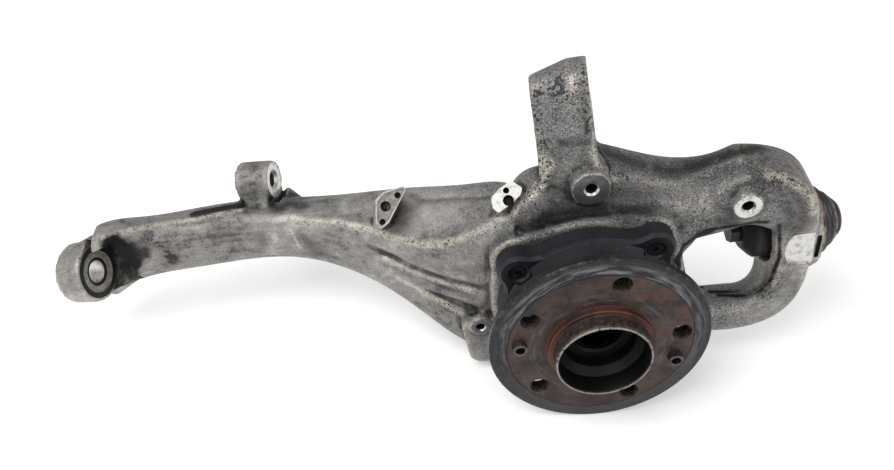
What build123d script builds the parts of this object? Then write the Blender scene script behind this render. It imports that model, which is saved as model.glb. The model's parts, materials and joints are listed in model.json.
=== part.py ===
from build123d import *
from dataclasses import dataclass
from math import cos, pi, radians, sin, tan
import os

os.makedirs("parts", exist_ok=True)

# A driven front wheel's steering knuckle with its wheel bearing and lower ball joint.
# Millimetres. The origin is the centre of the hub's wheel face, on the wheel axis.
# -Y points outwards along the wheel axis, -X runs up the neck, +Z is the steering-arm side.

# ---- Wheel hub -------------------------------------------------------------------------
WHEEL_BOLTS = 5
WHEEL_PCD = 120.0
WHEEL_BOLT_HOLE = 12.5  # tapping size of the M14 wheel bolt
WHEEL_BOLT_PHASE = 81.2  # degrees from +X to the first hole
FLANGE_D = 165.0
FLANGE_FLAT_D = 139.0  # flat wheel face, inside the bevelled rim
FLANGE_BEVEL = 1.8  # how far the rim slopes back
FLANGE_RIM_T = 6.0
FLANGE_ROOT_T = 13.5
SPIGOT_D = 72.5  # centres the wheel
SPIGOT_H = 17.7
SPIGOT_WALL = 4.2
SPIGOT_MOUTH_WALL = 2.2  # at the open end
DISC_SEAT_D = 79.0  # centres the brake disc
DISC_SEAT_H = 5.5
BORE_SHOULDER_Y = 11.0  # face the drive-shaft bolt pulls against
SPLINE_D = 34.0
SPLINE_TEETH = 30
SPLINE_DEPTH = 1.6
SPLINE_MOUTH = 1.9  # chamfer at the shoulder
SLEEVE_ANGLE = 97.0  # either side of the first wheel-bolt hole
SLEEVE_D = 11.0
SLEEVE_BORE = 7.0
SLEEVE_PROUD = 5.0
SLEEVE_L = 13.0

# ---- Wheel bearing ---------------------------------------------------------------------
EAR_FRONT_Y = 35.0
EAR_T = 15.0
EAR_PCD = 142.6
EAR_R = 15.5
EAR_PHASE = 55.0  # degrees from +X to the first ear
EAR_COUNT = 4
EAR_BODY_R = 71.0
EAR_BLEND = 16.0  # hollow curve between an ear and the flange's round
EAR_POCKET_R = 9.5
EAR_CHAMFER = 2.5
BEARING_FRONT_Y = 19.0
BEARING_REAR_Y = 75.0
ROW_Y = (32.0, 58.0)
BALL_D = 14.0
BALL_PCD = 75.0
BALLS_PER_ROW = 11
RACE_DEPTH = 1.5  # how deep each raceway is cut
INNER_LAND_D = BALL_PCD - BALL_D + 2 * RACE_DEPTH
OUTER_LAND_D = BALL_PCD + BALL_D - 2 * RACE_DEPTH
RING_WALL = 5.0
PILOT_D = OUTER_LAND_D + 2 * RING_WALL  # rear barrel that centres in the casting
RACE_GAP = 0.35  # ball to the turning raceways
SEAT_GAP = 0.05  # ball to the fixed raceway, and each slip fit
RUN_GAP = 0.4  # between any other turning and fixed faces
HUB_REAR_Y = 80.0

# ---- Casting ---------------------------------------------------------------------------
CASTING_FACE_Y = EAR_FRONT_Y + EAR_T
BODY_REAR_Y = 92.0
BODY_R = 76.0
BODY_ROUND = 3.0
RECESS_GAP = 2.0  # casting clear of the bearing flange's outline
SHOULDER = ((-36, 70, 25), (8, 74, 22), (60, 50, 21), (0, 30, 60))  # circles of its outline: x, z, radius
SHOULDER_FRONT_Y = 54.0
SHOULDER_REAR_Y = 104.0
SHOULDER_ROUND = 14.0
BOLT_D = 12.0
BOLT_HEAD_D = 18.0
BOLT_HEAD_H = 9.0
BOLT_HOLE_GAP = 0.6
BOLT_SEAT_Y = 88.0


@dataclass(frozen=True)
class Station:
    """A four-cornered outline across a limb, its corners rounded.

    x and z place it and turn is its heading in the XZ plane, 0 along +X and 90 along +Z.
    front and back are along Y. The four heights are measured across the heading.
    """

    x: float
    front: float
    back: float
    top_back: float
    top_front: float
    bottom_front: float
    bottom_back: float
    corner: float
    z: float = 0.0
    turn: float = 0.0


NECK = (
    Station(-384, 101, 134, 26, 28, -36, -28, 11),
    Station(-346, 111, 145, 24, 30, -23, -18, 11),
    Station(-307, 121, 156, 22, 28, -24, -19, 11),
    Station(-267, 124, 161, 24, 30, -20, -16, 11),
    Station(-225, 121, 160, 27, 30, -18, -14, 11),
    Station(-188, 112, 155, 34, 30, -24, -19, 11),
    Station(-152, 97, 146, 48, 30, -37, -29, 11),
    Station(-120, 80, 134, 60, 36, -55, -45, 11),
    Station(-89, 64, 122, 68, 52, -70, -57, 11),
    Station(-60, 55, 108, 76, 72, -70, -60, 11),
)
UPPER_RAIL = (
    Station(0, 54, 108, 119, 92, 40, 44, 12),
    Station(30, 54, 108, 107, 89, 38, 44, 12),
    Station(58, 55, 108, 97, 89, 39, 47, 12),
    Station(108, 56, 108, 106, 101, 52, 56, 12),
)
UPPER_BEND = (
    Station(132, 58, 110, 27.5, 26, -26, -24, 12, z=75, turn=-36),
    Station(157, 62, 122, 21, 20, -12, -12, 12, z=42, turn=-90),
)
LOWER_RAIL = (
    Station(40, 54, 92, -26, -26, -64, -62, 10),
    Station(86, 58, 91, -27, -27, -61, -58, 10),
    Station(122, 60, 93, -27, -27, -61, -58, 10),
)
LOWER_BEND = (
    Station(153, 62, 98, 15, 15, -17, -17, 10, z=-33, turn=48),
    Station(162, 65, 116, 17, 17, -18, -18, 11, z=4, turn=90),
)

# Upper ball-joint eye, its axis leaning from the neck.
EYE_FACE = Vector(-386, 112, -9)
EYE_AXIS = Vector(0.91, -0.30, 0.28).normalized()
EYE_R = 24.5
EYE_L = 23.0
EYE_BORE_D = 17.0
EYE_TAPER = 5.0  # degrees a side
EYE_SPOT_D = 34.0
EYE_SPOT_DEPTH = 2.5

# Anti-roll bar link boss on the neck.
LINK_FACE = Vector(-243.5, 161, 40)
LINK_AXIS = Vector(0.95, -0.22, 0.2).normalized()
LINK_R = 16.0
LINK_L = 29.0
LINK_BORE_D = 12.0
LINK_CHAMFER = 3.0

# Steering arm.
ARM_END = Vector(-28.3, 97, 159)
ARM_ROOT = Vector(-20, 84, 94)
ARM_AXIS = Vector(1.0, -0.12, 0.2).normalized()
ARM_W = 42.0
ARM_DRAWN_W = 28.0
ARM_DRAWN_IN = 8.5
ARM_END_R = 21.0
ARM_ROOT_R = 27.0
ARM_BORE_D = 15.0
ARM_TAPER = 4.8  # degrees a side

# Brake shield lug, wiring pad on the neck and machined pad on the shoulder.
SHIELD_HOLE = Vector(-83, 50, -29)
SHIELD_HOLE_D = 6.8
WIRE_PAD = Vector(-151.8, 95.2, 58.4)
WIRE_PAD_NORMAL = Vector(0.1, -0.74, 0.66).normalized()
WIRE_PAD_CORNERS = ((14, 19.6), (1.3, -10.6), (-4.9, -16.8), (-8.8, -11.6), (-9.8, 6.1))
WIRE_PAD_HOLES = ((6.3, 10.8, 2.4), (-3.6, -10.4, 2.4), (-2.1, 1.6, 4.0))
SHOULDER_PAD = Vector(-65.2, 65, 88.8)
SHOULDER_PAD_NORMAL = Vector(-0.15, -0.72, 0.68).normalized()
SHOULDER_PAD_CORNERS = (
    (-5.3, 7.4), (4.8, 11.8), (11.5, 5), (9.5, 0.4), (3.2, -4.1), (-8.7, -9.5), (-12.2, -5.3), (-12, 2.3)
)
SHOULDER_PAD_HOLES = ((-0.2, 5.4, 2.3), (0, -2, 4.0))

# Cast grooves on the neck: the middle of each cut, then half its height and depth.
UPPER_GROOVE = (
    (Vector(-172, 106, 14), 2.0, 2.0),
    (Vector(-140, 89, 1), 7.0, 6.5),
    (Vector(-108, 72, -4), 9.0, 7.0),
    (Vector(-78, 56, 6), 6.0, 4.0),
)
LOWER_GROOVE = (
    (Vector(-142, 90, -14), 2.0, 2.0),
    (Vector(-112, 74, -20), 5.0, 5.0),
    (Vector(-84, 60, -22), 5.5, 4.0),
)

# Brake caliper bosses, both square to the wheel axis.
CALIPER_NEAR = Vector(-8, 51, 104)
CALIPER_FAR = Vector(109.5, 52, 82)
CALIPER_NEAR_R = 14.5
CALIPER_FAR_R = 12.0
CALIPER_HOLE_D = 8.5
CALIPER_HOLE_L = 20.0

# Lower ball joint, its axis leaning a little from +X.
JOINT_CENTRE = Vector(168, 98.7, 25.7)
JOINT_AXIS = Vector(1.0, 0.066, 0.066).normalized()
JOINT_BOSS_R = 36.0
JOINT_BOSS_FRONT = 13.5  # boss end towards the boot
JOINT_BOSS_BACK = -9.0
JOINT_BORE_R = 24.0
JOINT_FLAT_DEPTH = 2.5
JOINT_FLAT = (173.0, 28.0, 40.0, 34.0)  # its middle in x and z, then its length and width
JOINT_WEB = ((151.5, 49, 11), (158.5, -5, 11), (166, -5, 11), (164, 49, 11))  # x, z, radius
JOINT_WEB_FRONT_Y = 62.0
JOINT_WEB_REAR_Y = 82.0
JOINT_WEB_ROUND = 4.0
SOCKET_R = 23.95
SOCKET_LIP_R = 26.0
SOCKET_LIP_T = 5.0
SOCKET_MOUTH = 14.0
SOCKET_WALL = 3.5
BALL_R = 15.0
LINER_T = 3.0
LINER_GAP = 0.05
DOME_END = -43.0
DOME_TOP_R = 14.0
DOME_R = 23.2
DOME_SHOULDER = -34.5  # where the dome reaches its full width
HEX_AF = 17.0
HEX_H = 8.0
STUD_NECK_R = 9.0
STUD_COLLAR_R = 15.5
STUD_END = 37.0
STUD_THREAD_D = 10.2
STUD_THREAD_L = 18.0
BOOT_BIG_S = 17.5
BOOT_SMALL_S = 30.5
BOOT_BIG_R = 26.0
BOOT_WALL = 1.6
CLAMP_WIRE_R = 1.1


def along(point, axis, s):
    """The point s along an axis from a point."""
    return point + axis * s


def on_axis(point, axis):
    """A plane whose normal is the given axis."""
    return Plane(origin=point, z_dir=axis)


def wheel_plane(y):
    """A plane across the wheel axis, its normal pointing outwards along -Y, its x along +X."""
    return Plane(origin=(0, y, 0), x_dir=(1, 0, 0), z_dir=(0, -1, 0))


def ring_point(r, degrees, y=0.0):
    """A point at radius r round the wheel axis."""
    return Vector(r * cos(radians(degrees)), y, r * sin(radians(degrees)))


def turned(points):
    """Solid turned about the wheel axis from (radius, y) points."""
    outline = Polyline(*[(r, y, 0) for r, y in points], close=True)
    return revolve(make_face(outline), Axis.Y)


def turned_about(point, axis, points):
    """Solid turned about a leaning axis from (radius, distance along) points."""
    profile = make_face(Polyline(*[(r, 0, s) for r, s in points], close=True))
    return on_axis(point, axis).location * revolve(profile, Axis.Z)


def rod(point, axis, r, start, end):
    """A round bar about an axis, from start to end along it."""
    base = on_axis(along(point, axis, start), axis)
    return base.location * Cylinder(r, end - start, align=(Align.CENTER, Align.CENTER, Align.MIN))


def cone(point, axis, r_start, r_end, start, end):
    """A tapered bar about an axis."""
    base = on_axis(along(point, axis, start), axis)
    return base.location * Cone(
        r_start, r_end, end - start, align=(Align.CENTER, Align.CENTER, Align.MIN)
    )


def across(station):
    """The station's rounded outline on its plane, drawn in (Y, height) coordinates."""
    heading = Vector(cos(radians(station.turn)), 0, sin(radians(station.turn)))
    plane = Plane(origin=(station.x, 0, station.z), x_dir=(0, 1, 0), z_dir=heading)
    corners = Polyline(
        (station.back, station.top_back),
        (station.front, station.top_front),
        (station.front, station.bottom_front),
        (station.back, station.bottom_back),
        close=True,
    )
    outline = make_face(corners)
    return plane * fillet(outline.vertices(), station.corner)


def limb(stations):
    """A limb lofted through its stations."""
    return loft([across(station) for station in stations])


# ---- Sub-parts -------------------------------------------------------------------------
def wheel_hub():
    """Flange, spigot, disc seat and splined barrel, one forging."""
    flange_r = FLANGE_D / 2
    spigot_r = SPIGOT_D / 2
    bore_r = spigot_r - SPIGOT_WALL
    land_r = INNER_LAND_D / 2
    race_y = ROW_Y[0]
    barrel_r = land_r - 5.0
    hub = turned(
        [
            (spigot_r - SPIGOT_MOUTH_WALL, -SPIGOT_H),
            (spigot_r - 1.2, -SPIGOT_H),
            (spigot_r, -SPIGOT_H + 2.5),
            (spigot_r, -DISC_SEAT_H),
            (DISC_SEAT_D / 2 - 1, -DISC_SEAT_H),
            (DISC_SEAT_D / 2, -DISC_SEAT_H + 1),
            (DISC_SEAT_D / 2, 0),
            (FLANGE_FLAT_D / 2, 0),
            (flange_r - 1, FLANGE_BEVEL),
            (flange_r, FLANGE_BEVEL + 0.8),
            (flange_r, FLANGE_BEVEL + FLANGE_RIM_T),
            (land_r + 22, FLANGE_ROOT_T - 2),
            (land_r + 18, FLANGE_ROOT_T),
            (land_r + 6, FLANGE_ROOT_T + 1),
            (land_r + 3.0, FLANGE_ROOT_T + 6),
            (land_r, race_y - 4),
            (land_r, race_y + 8),
            (barrel_r, race_y + 8),
            (barrel_r, HUB_REAR_Y - 4),
            (SPLINE_D / 2 + 3, HUB_REAR_Y),
            (SPLINE_D / 2 + 1, HUB_REAR_Y),
            (SPLINE_D / 2, HUB_REAR_Y - 1.5),
            (SPLINE_D / 2, BORE_SHOULDER_Y + SPLINE_MOUTH),
            (SPLINE_D / 2 + SPLINE_MOUTH, BORE_SHOULDER_Y),
            (bore_r - 6, BORE_SHOULDER_Y),
            (bore_r - 5, BORE_SHOULDER_Y - 8),
            (bore_r, BORE_SHOULDER_Y - 14),
            (bore_r, -SPIGOT_H / 2),
        ]
    )
    race = revolve(
        Pos(BALL_PCD / 2, race_y) * Circle(BALL_D / 2 + RACE_GAP), Axis.Y
    )
    hub -= race
    tap_r = WHEEL_BOLT_HOLE / 2
    for k in range(WHEEL_BOLTS):
        at = ring_point(WHEEL_PCD / 2, WHEEL_BOLT_PHASE - k * 360 / WHEEL_BOLTS)
        hub -= rod(at, Vector(0, 1, 0), tap_r, -1, FLANGE_ROOT_T + 3)
        hub -= cone(at, Vector(0, 1, 0), tap_r + 1.2, tap_r, -0.01, 1.2)
    for side in (-1, 1):
        at = ring_point(WHEEL_PCD / 2, WHEEL_BOLT_PHASE + side * SLEEVE_ANGLE)
        hub -= rod(at, Vector(0, 1, 0), SLEEVE_D / 2 + SEAT_GAP, -1, FLANGE_ROOT_T + 3)
    groove = wheel_plane(HUB_REAR_Y + 1) * Pos(SPLINE_D / 2, 0) * Rectangle(
        2 * SPLINE_DEPTH, pi * SPLINE_D / SPLINE_TEETH / 2
    )
    slot = extrude(groove, HUB_REAR_Y + 1 - BORE_SHOULDER_Y - 4)
    for k in range(SPLINE_TEETH):
        hub -= slot.rotate(Axis.Y, k * 360 / SPLINE_TEETH)
    return hub


def flange_outline(gap, y):
    """Outline of the bearing flange, a round with four blended ears, grown by a gap."""
    outline = Circle(EAR_BODY_R + gap)
    for k in range(EAR_COUNT):
        at = ring_point(EAR_PCD / 2, EAR_PHASE + 90 * k)
        outline += Pos(at.X, at.Z) * Circle(EAR_R + gap)
    return wheel_plane(y) * fillet(outline.vertices(), EAR_BLEND - gap)


def bearing_outer_ring():
    """Stationary ring with its four-eared flange and two raceways."""
    pilot_r = PILOT_D / 2 - SEAT_GAP
    land_r = OUTER_LAND_D / 2
    ring = turned(
        [
            (land_r, BEARING_FRONT_Y + 2),
            (land_r + 1, BEARING_FRONT_Y + 1),
            (land_r + 8, BEARING_FRONT_Y + 1),
            (land_r + 10, BEARING_FRONT_Y + 4),
            (EAR_BODY_R - 4, EAR_FRONT_Y - 1),
            (EAR_BODY_R, EAR_FRONT_Y + 2),
            (EAR_BODY_R, CASTING_FACE_Y),
            (pilot_r, CASTING_FACE_Y),
            (pilot_r, BEARING_REAR_Y - 1.5),
            (pilot_r - 1.5, BEARING_REAR_Y),
            (land_r, BEARING_REAR_Y),
        ]
    )
    plate = extrude(flange_outline(0.0, CASTING_FACE_Y), EAR_T)
    plate = chamfer(plate.edges().group_by(Axis.Y)[0], EAR_CHAMFER)
    ring += plate - rod(Vector(0, 0, 0), Vector(0, 1, 0), EAR_BODY_R - 6, 0, CASTING_FACE_Y + 1)
    for k in range(EAR_COUNT):
        at = ring_point(EAR_PCD / 2, EAR_PHASE + 90 * k)
        ring -= rod(at, Vector(0, 1, 0), BOLT_D / 2 + SEAT_GAP, EAR_FRONT_Y - 1, CASTING_FACE_Y + 1)
        ring -= rod(at, Vector(0, 1, 0), EAR_POCKET_R, BEARING_FRONT_Y, EAR_FRONT_Y)
        mouth = along(at, Vector(0, 1, 0), EAR_FRONT_Y)
        ring -= cone(mouth, Vector(0, 1, 0), BOLT_D / 2 + 2.2, BOLT_D / 2, -0.01, 2.2)
    for y in ROW_Y:
        ring -= revolve(Pos(BALL_PCD / 2, y) * Circle(BALL_D / 2 + SEAT_GAP), Axis.Y)
    return ring


def bearing_inner_ring():
    """Inboard inner ring, pressed on the hub barrel."""
    land_r = INNER_LAND_D / 2
    seat_r = land_r - 5.0 + SEAT_GAP
    ring = turned(
        [
            (seat_r, ROW_Y[0] + 9),
            (land_r - 1, ROW_Y[0] + 9),
            (land_r, ROW_Y[0] + 10),
            (land_r, BEARING_REAR_Y - 1),
            (land_r - 1, BEARING_REAR_Y),
            (seat_r, BEARING_REAR_Y),
        ]
    )
    return ring - revolve(Pos(BALL_PCD / 2, ROW_Y[1]) * Circle(BALL_D / 2 + RACE_GAP), Axis.Y)


def ball_row(y):
    """One row of bearing balls."""
    return [
        Location(ring_point(BALL_PCD / 2, k * 360 / BALLS_PER_ROW, y)) * Sphere(BALL_D / 2)
        for k in range(BALLS_PER_ROW)
    ]


def cage(y, inboard):
    """Moulded cage: a band between the races with a round pocket for each ball."""
    back = 1 if inboard else -1
    inner = BALL_PCD / 2 - 2.2
    outer = BALL_PCD / 2 + 2.2
    band = turned(
        [(inner, y - 4.5), (outer, y - 4.5), (outer, y + 4.5), (inner, y + 4.5)]
    )
    band += turned(
        [
            (inner, y + back * 4),
            (outer, y + back * 4),
            (outer, y + back * 8.5),
            (inner, y + back * 8.5),
        ]
    )
    for k in range(BALLS_PER_ROW):
        radial = ring_point(1, k * 360 / BALLS_PER_ROW)
        band -= rod(Vector(0, y, 0), radial, BALL_D / 2 + 0.2, inner - 5, outer + 5)
    return band


def front_seal():
    """Outboard seal in the outer ring's mouth, its lips just clear of the hub."""
    outer = OUTER_LAND_D / 2 - SEAT_GAP
    inner = INNER_LAND_D / 2 + 3.0 + RUN_GAP
    return turned(
        [
            (outer, BEARING_FRONT_Y + 2),
            (outer, BEARING_FRONT_Y + 4),
            (inner + 2, BEARING_FRONT_Y + 4),
            (inner, BEARING_FRONT_Y + 3),
            (inner, BEARING_FRONT_Y + 2),
            (inner + 3, BEARING_FRONT_Y + 1),
        ]
    )


def rear_seal():
    """Inboard seal, pressed in the outer ring."""
    outer = OUTER_LAND_D / 2 - SEAT_GAP
    inner = INNER_LAND_D / 2 + RUN_GAP
    return turned(
        [
            (outer, BEARING_REAR_Y - 7),
            (outer, BEARING_REAR_Y - 4.5),
            (inner, BEARING_REAR_Y - 4.5),
            (inner, BEARING_REAR_Y - 6),
        ]
    )


def encoder_ring():
    """Speed-sensor target ring, pressed on the inner ring."""
    inner = INNER_LAND_D / 2 + SEAT_GAP
    outer = OUTER_LAND_D / 2 - RUN_GAP - 1.0
    return turned(
        [
            (inner, BEARING_REAR_Y - 4),
            (inner + 1.2, BEARING_REAR_Y - 4),
            (inner + 1.2, BEARING_REAR_Y - 2.5),
            (outer, BEARING_REAR_Y - 2.5),
            (outer, BEARING_REAR_Y - 1.2),
            (inner, BEARING_REAR_Y - 1.2),
        ]
    )


def bearing_bolts():
    """Four bolts from behind, screwed through the ears."""
    bolts = []
    for k in range(EAR_COUNT):
        at = ring_point(EAR_PCD / 2, EAR_PHASE + 90 * k)
        axis = Vector(0, 1, 0)
        bolt = rod(at, axis, BOLT_D / 2, EAR_FRONT_Y + 1.5, BOLT_SEAT_Y + 1)
        bolt += rod(at, axis, BOLT_HEAD_D / 2 + 2.5, BOLT_SEAT_Y + SEAT_GAP, BOLT_SEAT_Y + 2)
        head = on_axis(along(at, axis, BOLT_SEAT_Y + 1), axis) * RegularPolygon(
            BOLT_HEAD_D / 2, 6, major_radius=False
        )
        bolt += extrude(head, BOLT_HEAD_H - 1)
        bolt -= rod(at, axis, 2.4, EAR_FRONT_Y, EAR_FRONT_Y + 4)
        bolts.append(bolt)
    return bolts


def disc_sleeves():
    """Two sleeves that the brake disc locates on, standing proud of the wheel face."""
    sleeves = []
    axis = Vector(0, 1, 0)
    for side in (-1, 1):
        at = ring_point(WHEEL_PCD / 2, WHEEL_BOLT_PHASE + side * SLEEVE_ANGLE)
        sleeve = rod(at, axis, SLEEVE_D / 2, -SLEEVE_PROUD, SLEEVE_L - SLEEVE_PROUD)
        sleeves.append(sleeve - rod(at, axis, SLEEVE_BORE / 2, -SLEEVE_PROUD - 1, SLEEVE_L))
    return sleeves


def steering_arm():
    """Arm to the track rod: the hull of a root and an end circle, drawn in on one side."""
    plane = Plane(origin=ARM_END, x_dir=ARM_AXIS.cross(Vector(0, 1, 0)), z_dir=ARM_AXIS)
    root = plane.to_local_coords(ARM_ROOT)

    def outline(offset, shrink):
        hull = make_hull(
            [
                *Circle(ARM_END_R - shrink).edges(),
                *(Pos(root.X, root.Y) * Circle(ARM_ROOT_R - shrink)).edges(),
            ]
        )
        return plane.offset(offset) * hull

    straight = ARM_W - ARM_DRAWN_W
    drawn = loft([outline(-ARM_W / 2, ARM_DRAWN_IN), outline(ARM_DRAWN_W - ARM_W / 2, 0)])
    return drawn + extrude(outline(ARM_DRAWN_W - ARM_W / 2, 0), straight)


def rounded_slab(circles, front, back, rounding):
    """A slab across the wheel axis: the hull of (x, z, radius) circles with rounded rims."""
    edges = []
    for x, z, r in circles:
        edges += (Pos(x, z) * Circle(r)).edges()
    slab = extrude(wheel_plane(back) * make_hull(edges), back - front)
    rims = slab.edges().group_by(Axis.Y)
    return fillet([*rims[0], *rims[-1]], rounding)


def body_block():
    """The part of the casting round the bearing, with a shoulder to the arm and rails."""
    ears = [ring_point(EAR_PCD / 2, EAR_PHASE + 90 * k) for k in range(EAR_COUNT)]
    ring = [(0, 0, BODY_R), *((ear.X, ear.Z, EAR_R + 4) for ear in ears)]
    block = rounded_slab(ring, CASTING_FACE_Y, BODY_REAR_Y, BODY_ROUND)
    return block + rounded_slab(SHOULDER, SHOULDER_FRONT_Y, SHOULDER_REAR_Y, SHOULDER_ROUND)


def shield_lug():
    """Lug at the lower left for the brake shield, with its plate to the body."""
    outwards = Vector(0, 1, 0)
    lug = rod(SHIELD_HOLE, outwards, 9.5, 0, 24)
    plate = make_hull(
        [
            *(Pos(-86, -36) * Circle(11)).edges(),
            *(Pos(-79, -63) * Circle(12)).edges(),
            *(Pos(-55, -45) * Circle(22)).edges(),
        ]
    )
    return lug + extrude(wheel_plane(SHIELD_HOLE.Y + 17) * plate, 12)


def link_boss():
    """Anti-roll bar link boss with the web that carries it."""
    boss = rod(LINK_FACE, LINK_AXIS, LINK_R, -LINK_L, 0)
    foot = Vector(LINK_FACE.X - 6, 146, 8)
    plane = Plane(origin=LINK_FACE, x_dir=LINK_AXIS.cross(Vector(0, 1, 0)), z_dir=LINK_AXIS)
    root = plane.to_local_coords(foot)
    web = make_hull([*Circle(LINK_R - 2).edges(), *(Pos(root.X, root.Y) * Circle(LINK_R)).edges()])
    return boss + extrude(plane.offset(-LINK_L + 3) * web, LINK_L - 6)


def pad(point, normal, corners, depth):
    """A raised machined pad, its outline given in the plane it faces."""
    plane = Plane(origin=point, x_dir=(normal.Z, 0, -normal.X), z_dir=normal)
    outline = make_face(Polyline(*corners, close=True))
    outline = fillet(outline.vertices(), 3.0)
    return extrude(plane * outline, -depth)


def neck_grooves():
    """Two cast grooves where the neck's ribs run into the body."""
    grooves = []
    for ends in (UPPER_GROOVE, LOWER_GROOVE):
        cuts = [
            Plane(origin=point, x_dir=(0, 0, 1), z_dir=(1, 0, 0)) * Ellipse(tall, deep)
            for point, tall, deep in ends
        ]
        grooves.append(loft(cuts))
    return grooves


def knuckle_casting():
    """The aluminium casting: neck, body, arm, rails, bosses and their machined holes."""
    outwards = Vector(0, 1, 0)
    casting = body_block()
    casting += limb(NECK)
    casting += limb(UPPER_RAIL)
    casting += limb((UPPER_RAIL[-1], *UPPER_BEND))
    casting += limb(LOWER_RAIL)
    casting += limb((LOWER_RAIL[-1], *LOWER_BEND))
    casting += rod(JOINT_CENTRE, JOINT_AXIS, JOINT_BOSS_R, JOINT_BOSS_BACK, JOINT_BOSS_FRONT)
    casting += rounded_slab(JOINT_WEB, JOINT_WEB_FRONT_Y, JOINT_WEB_REAR_Y, JOINT_WEB_ROUND)
    casting += steering_arm()
    casting += rod(EYE_FACE, EYE_AXIS, EYE_R, -EYE_L, 0)
    casting += link_boss()
    casting += shield_lug()
    casting += rod(CALIPER_NEAR, outwards, CALIPER_NEAR_R, 0, 30)
    casting += rod(CALIPER_FAR, outwards, CALIPER_FAR_R, 0, 20)
    casting += pad(WIRE_PAD, WIRE_PAD_NORMAL, WIRE_PAD_CORNERS, 28)
    casting += pad(SHOULDER_PAD, SHOULDER_PAD_NORMAL, SHOULDER_PAD_CORNERS, 24)
    for groove in neck_grooves():
        casting -= groove

    casting -= rod(Vector(0, 0, 0), outwards, PILOT_D / 2, CASTING_FACE_Y - 20, BODY_REAR_Y + 10)
    casting -= extrude(flange_outline(RECESS_GAP, CASTING_FACE_Y), CASTING_FACE_Y - BEARING_FRONT_Y)
    for k in range(EAR_COUNT):
        at = ring_point(EAR_PCD / 2, EAR_PHASE + 90 * k)
        casting -= rod(at, outwards, BOLT_D / 2 + BOLT_HOLE_GAP, 30, BODY_REAR_Y + 5)
        casting -= rod(at, outwards, BOLT_HEAD_D / 2 + 4, BOLT_SEAT_Y, BODY_REAR_Y + 30)
    casting -= rod(JOINT_CENTRE, JOINT_AXIS, JOINT_BORE_R, JOINT_BOSS_BACK - 20, JOINT_BOSS_FRONT + 20)
    casting -= rod(JOINT_CENTRE, JOINT_AXIS, SOCKET_LIP_R + 2, DOME_END - HEX_H - 8, JOINT_BOSS_BACK)
    flat_x, flat_z, flat_l, flat_w = JOINT_FLAT
    mill = wheel_plane(JOINT_CENTRE.Y - JOINT_BOSS_R + JOINT_FLAT_DEPTH)
    casting -= extrude(mill * Pos(flat_x, flat_z) * RectangleRounded(flat_l, flat_w, 5), 20)
    taper = tan(radians(EYE_TAPER))
    casting -= cone(
        EYE_FACE, EYE_AXIS, EYE_BORE_D / 2 + EYE_L * taper, EYE_BORE_D / 2, -EYE_L - 0.01, 0.01
    )
    casting -= rod(EYE_FACE, EYE_AXIS, EYE_SPOT_D / 2, -EYE_SPOT_DEPTH, 20)
    link_r = LINK_BORE_D / 2
    casting -= rod(LINK_FACE, LINK_AXIS, link_r, -LINK_L - 5, 5)
    casting -= cone(LINK_FACE, LINK_AXIS, link_r, link_r + LINK_CHAMFER, -LINK_CHAMFER, 0.01)
    half = ARM_W / 2
    arm_taper = tan(radians(ARM_TAPER))
    casting -= cone(
        ARM_END, ARM_AXIS, ARM_BORE_D / 2, ARM_BORE_D / 2 + ARM_W * arm_taper, -half - 0.01, half + 0.01
    )
    for at in (CALIPER_NEAR, CALIPER_FAR):
        casting -= rod(at, outwards, CALIPER_HOLE_D / 2, -5, CALIPER_HOLE_L)
    casting -= rod(SHIELD_HOLE, outwards, SHIELD_HOLE_D / 2, -5, 18)
    for x, y, r in WIRE_PAD_HOLES:
        casting -= pad_hole(WIRE_PAD, WIRE_PAD_NORMAL, x, y, r, 12)
    for x, y, r in SHOULDER_PAD_HOLES:
        casting -= pad_hole(SHOULDER_PAD, SHOULDER_PAD_NORMAL, x, y, r, 14)
    return casting


def pad_hole(point, normal, x, y, r, depth):
    """A blind hole square to a pad."""
    plane = Plane(origin=point, x_dir=(normal.Z, 0, -normal.X), z_dir=normal)
    return extrude(plane.offset(2) * Pos(x, y) * Circle(r), -depth - 2)


def socket_housing():
    """Lower ball joint's steel cartridge: lip, dome and hexagon, open to the boot side."""
    housing = turned_about(
        JOINT_CENTRE,
        JOINT_AXIS,
        [
            (0, DOME_END),
            (DOME_TOP_R - 1, DOME_END),
            (DOME_TOP_R + 1, DOME_END + 1),
            (DOME_R - 1.5, DOME_SHOULDER - 1),
            (DOME_R, DOME_SHOULDER + 1),
            (DOME_R, JOINT_BOSS_BACK - SOCKET_LIP_T - 6),
            (SOCKET_LIP_R - 1, JOINT_BOSS_BACK - SOCKET_LIP_T - 4),
            (SOCKET_LIP_R - 1, JOINT_BOSS_BACK - SOCKET_LIP_T - 2),
            (SOCKET_LIP_R, JOINT_BOSS_BACK - SOCKET_LIP_T - 1),
            (SOCKET_LIP_R, JOINT_BOSS_BACK - SEAT_GAP),
            (SOCKET_R, JOINT_BOSS_BACK - SEAT_GAP),
            (SOCKET_R, SOCKET_MOUTH + 1),
            (SOCKET_R - SOCKET_WALL + 1, SOCKET_MOUTH + 1),
            (SOCKET_R - SOCKET_WALL, SOCKET_MOUTH),
            (SOCKET_R - SOCKET_WALL, -BALL_R - LINER_T - 1),
            (0, -BALL_R - LINER_T - 1),
        ],
    )
    hexagon = on_axis(along(JOINT_CENTRE, JOINT_AXIS, DOME_END - HEX_H), JOINT_AXIS) * RegularPolygon(
        HEX_AF / 2, 6, major_radius=False
    )
    return housing + extrude(hexagon, HEX_H + 1)


def socket_liner():
    """Plastic liner the ball turns in."""
    outer = SOCKET_R - SOCKET_WALL - SEAT_GAP
    liner = rod(JOINT_CENTRE, JOINT_AXIS, outer, -BALL_R - LINER_T, 11)
    liner -= Location(JOINT_CENTRE) * Sphere(BALL_R + LINER_GAP)
    return liner - cone(JOINT_CENTRE, JOINT_AXIS, 8.0, 19.5, 5, 11.01)


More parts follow.
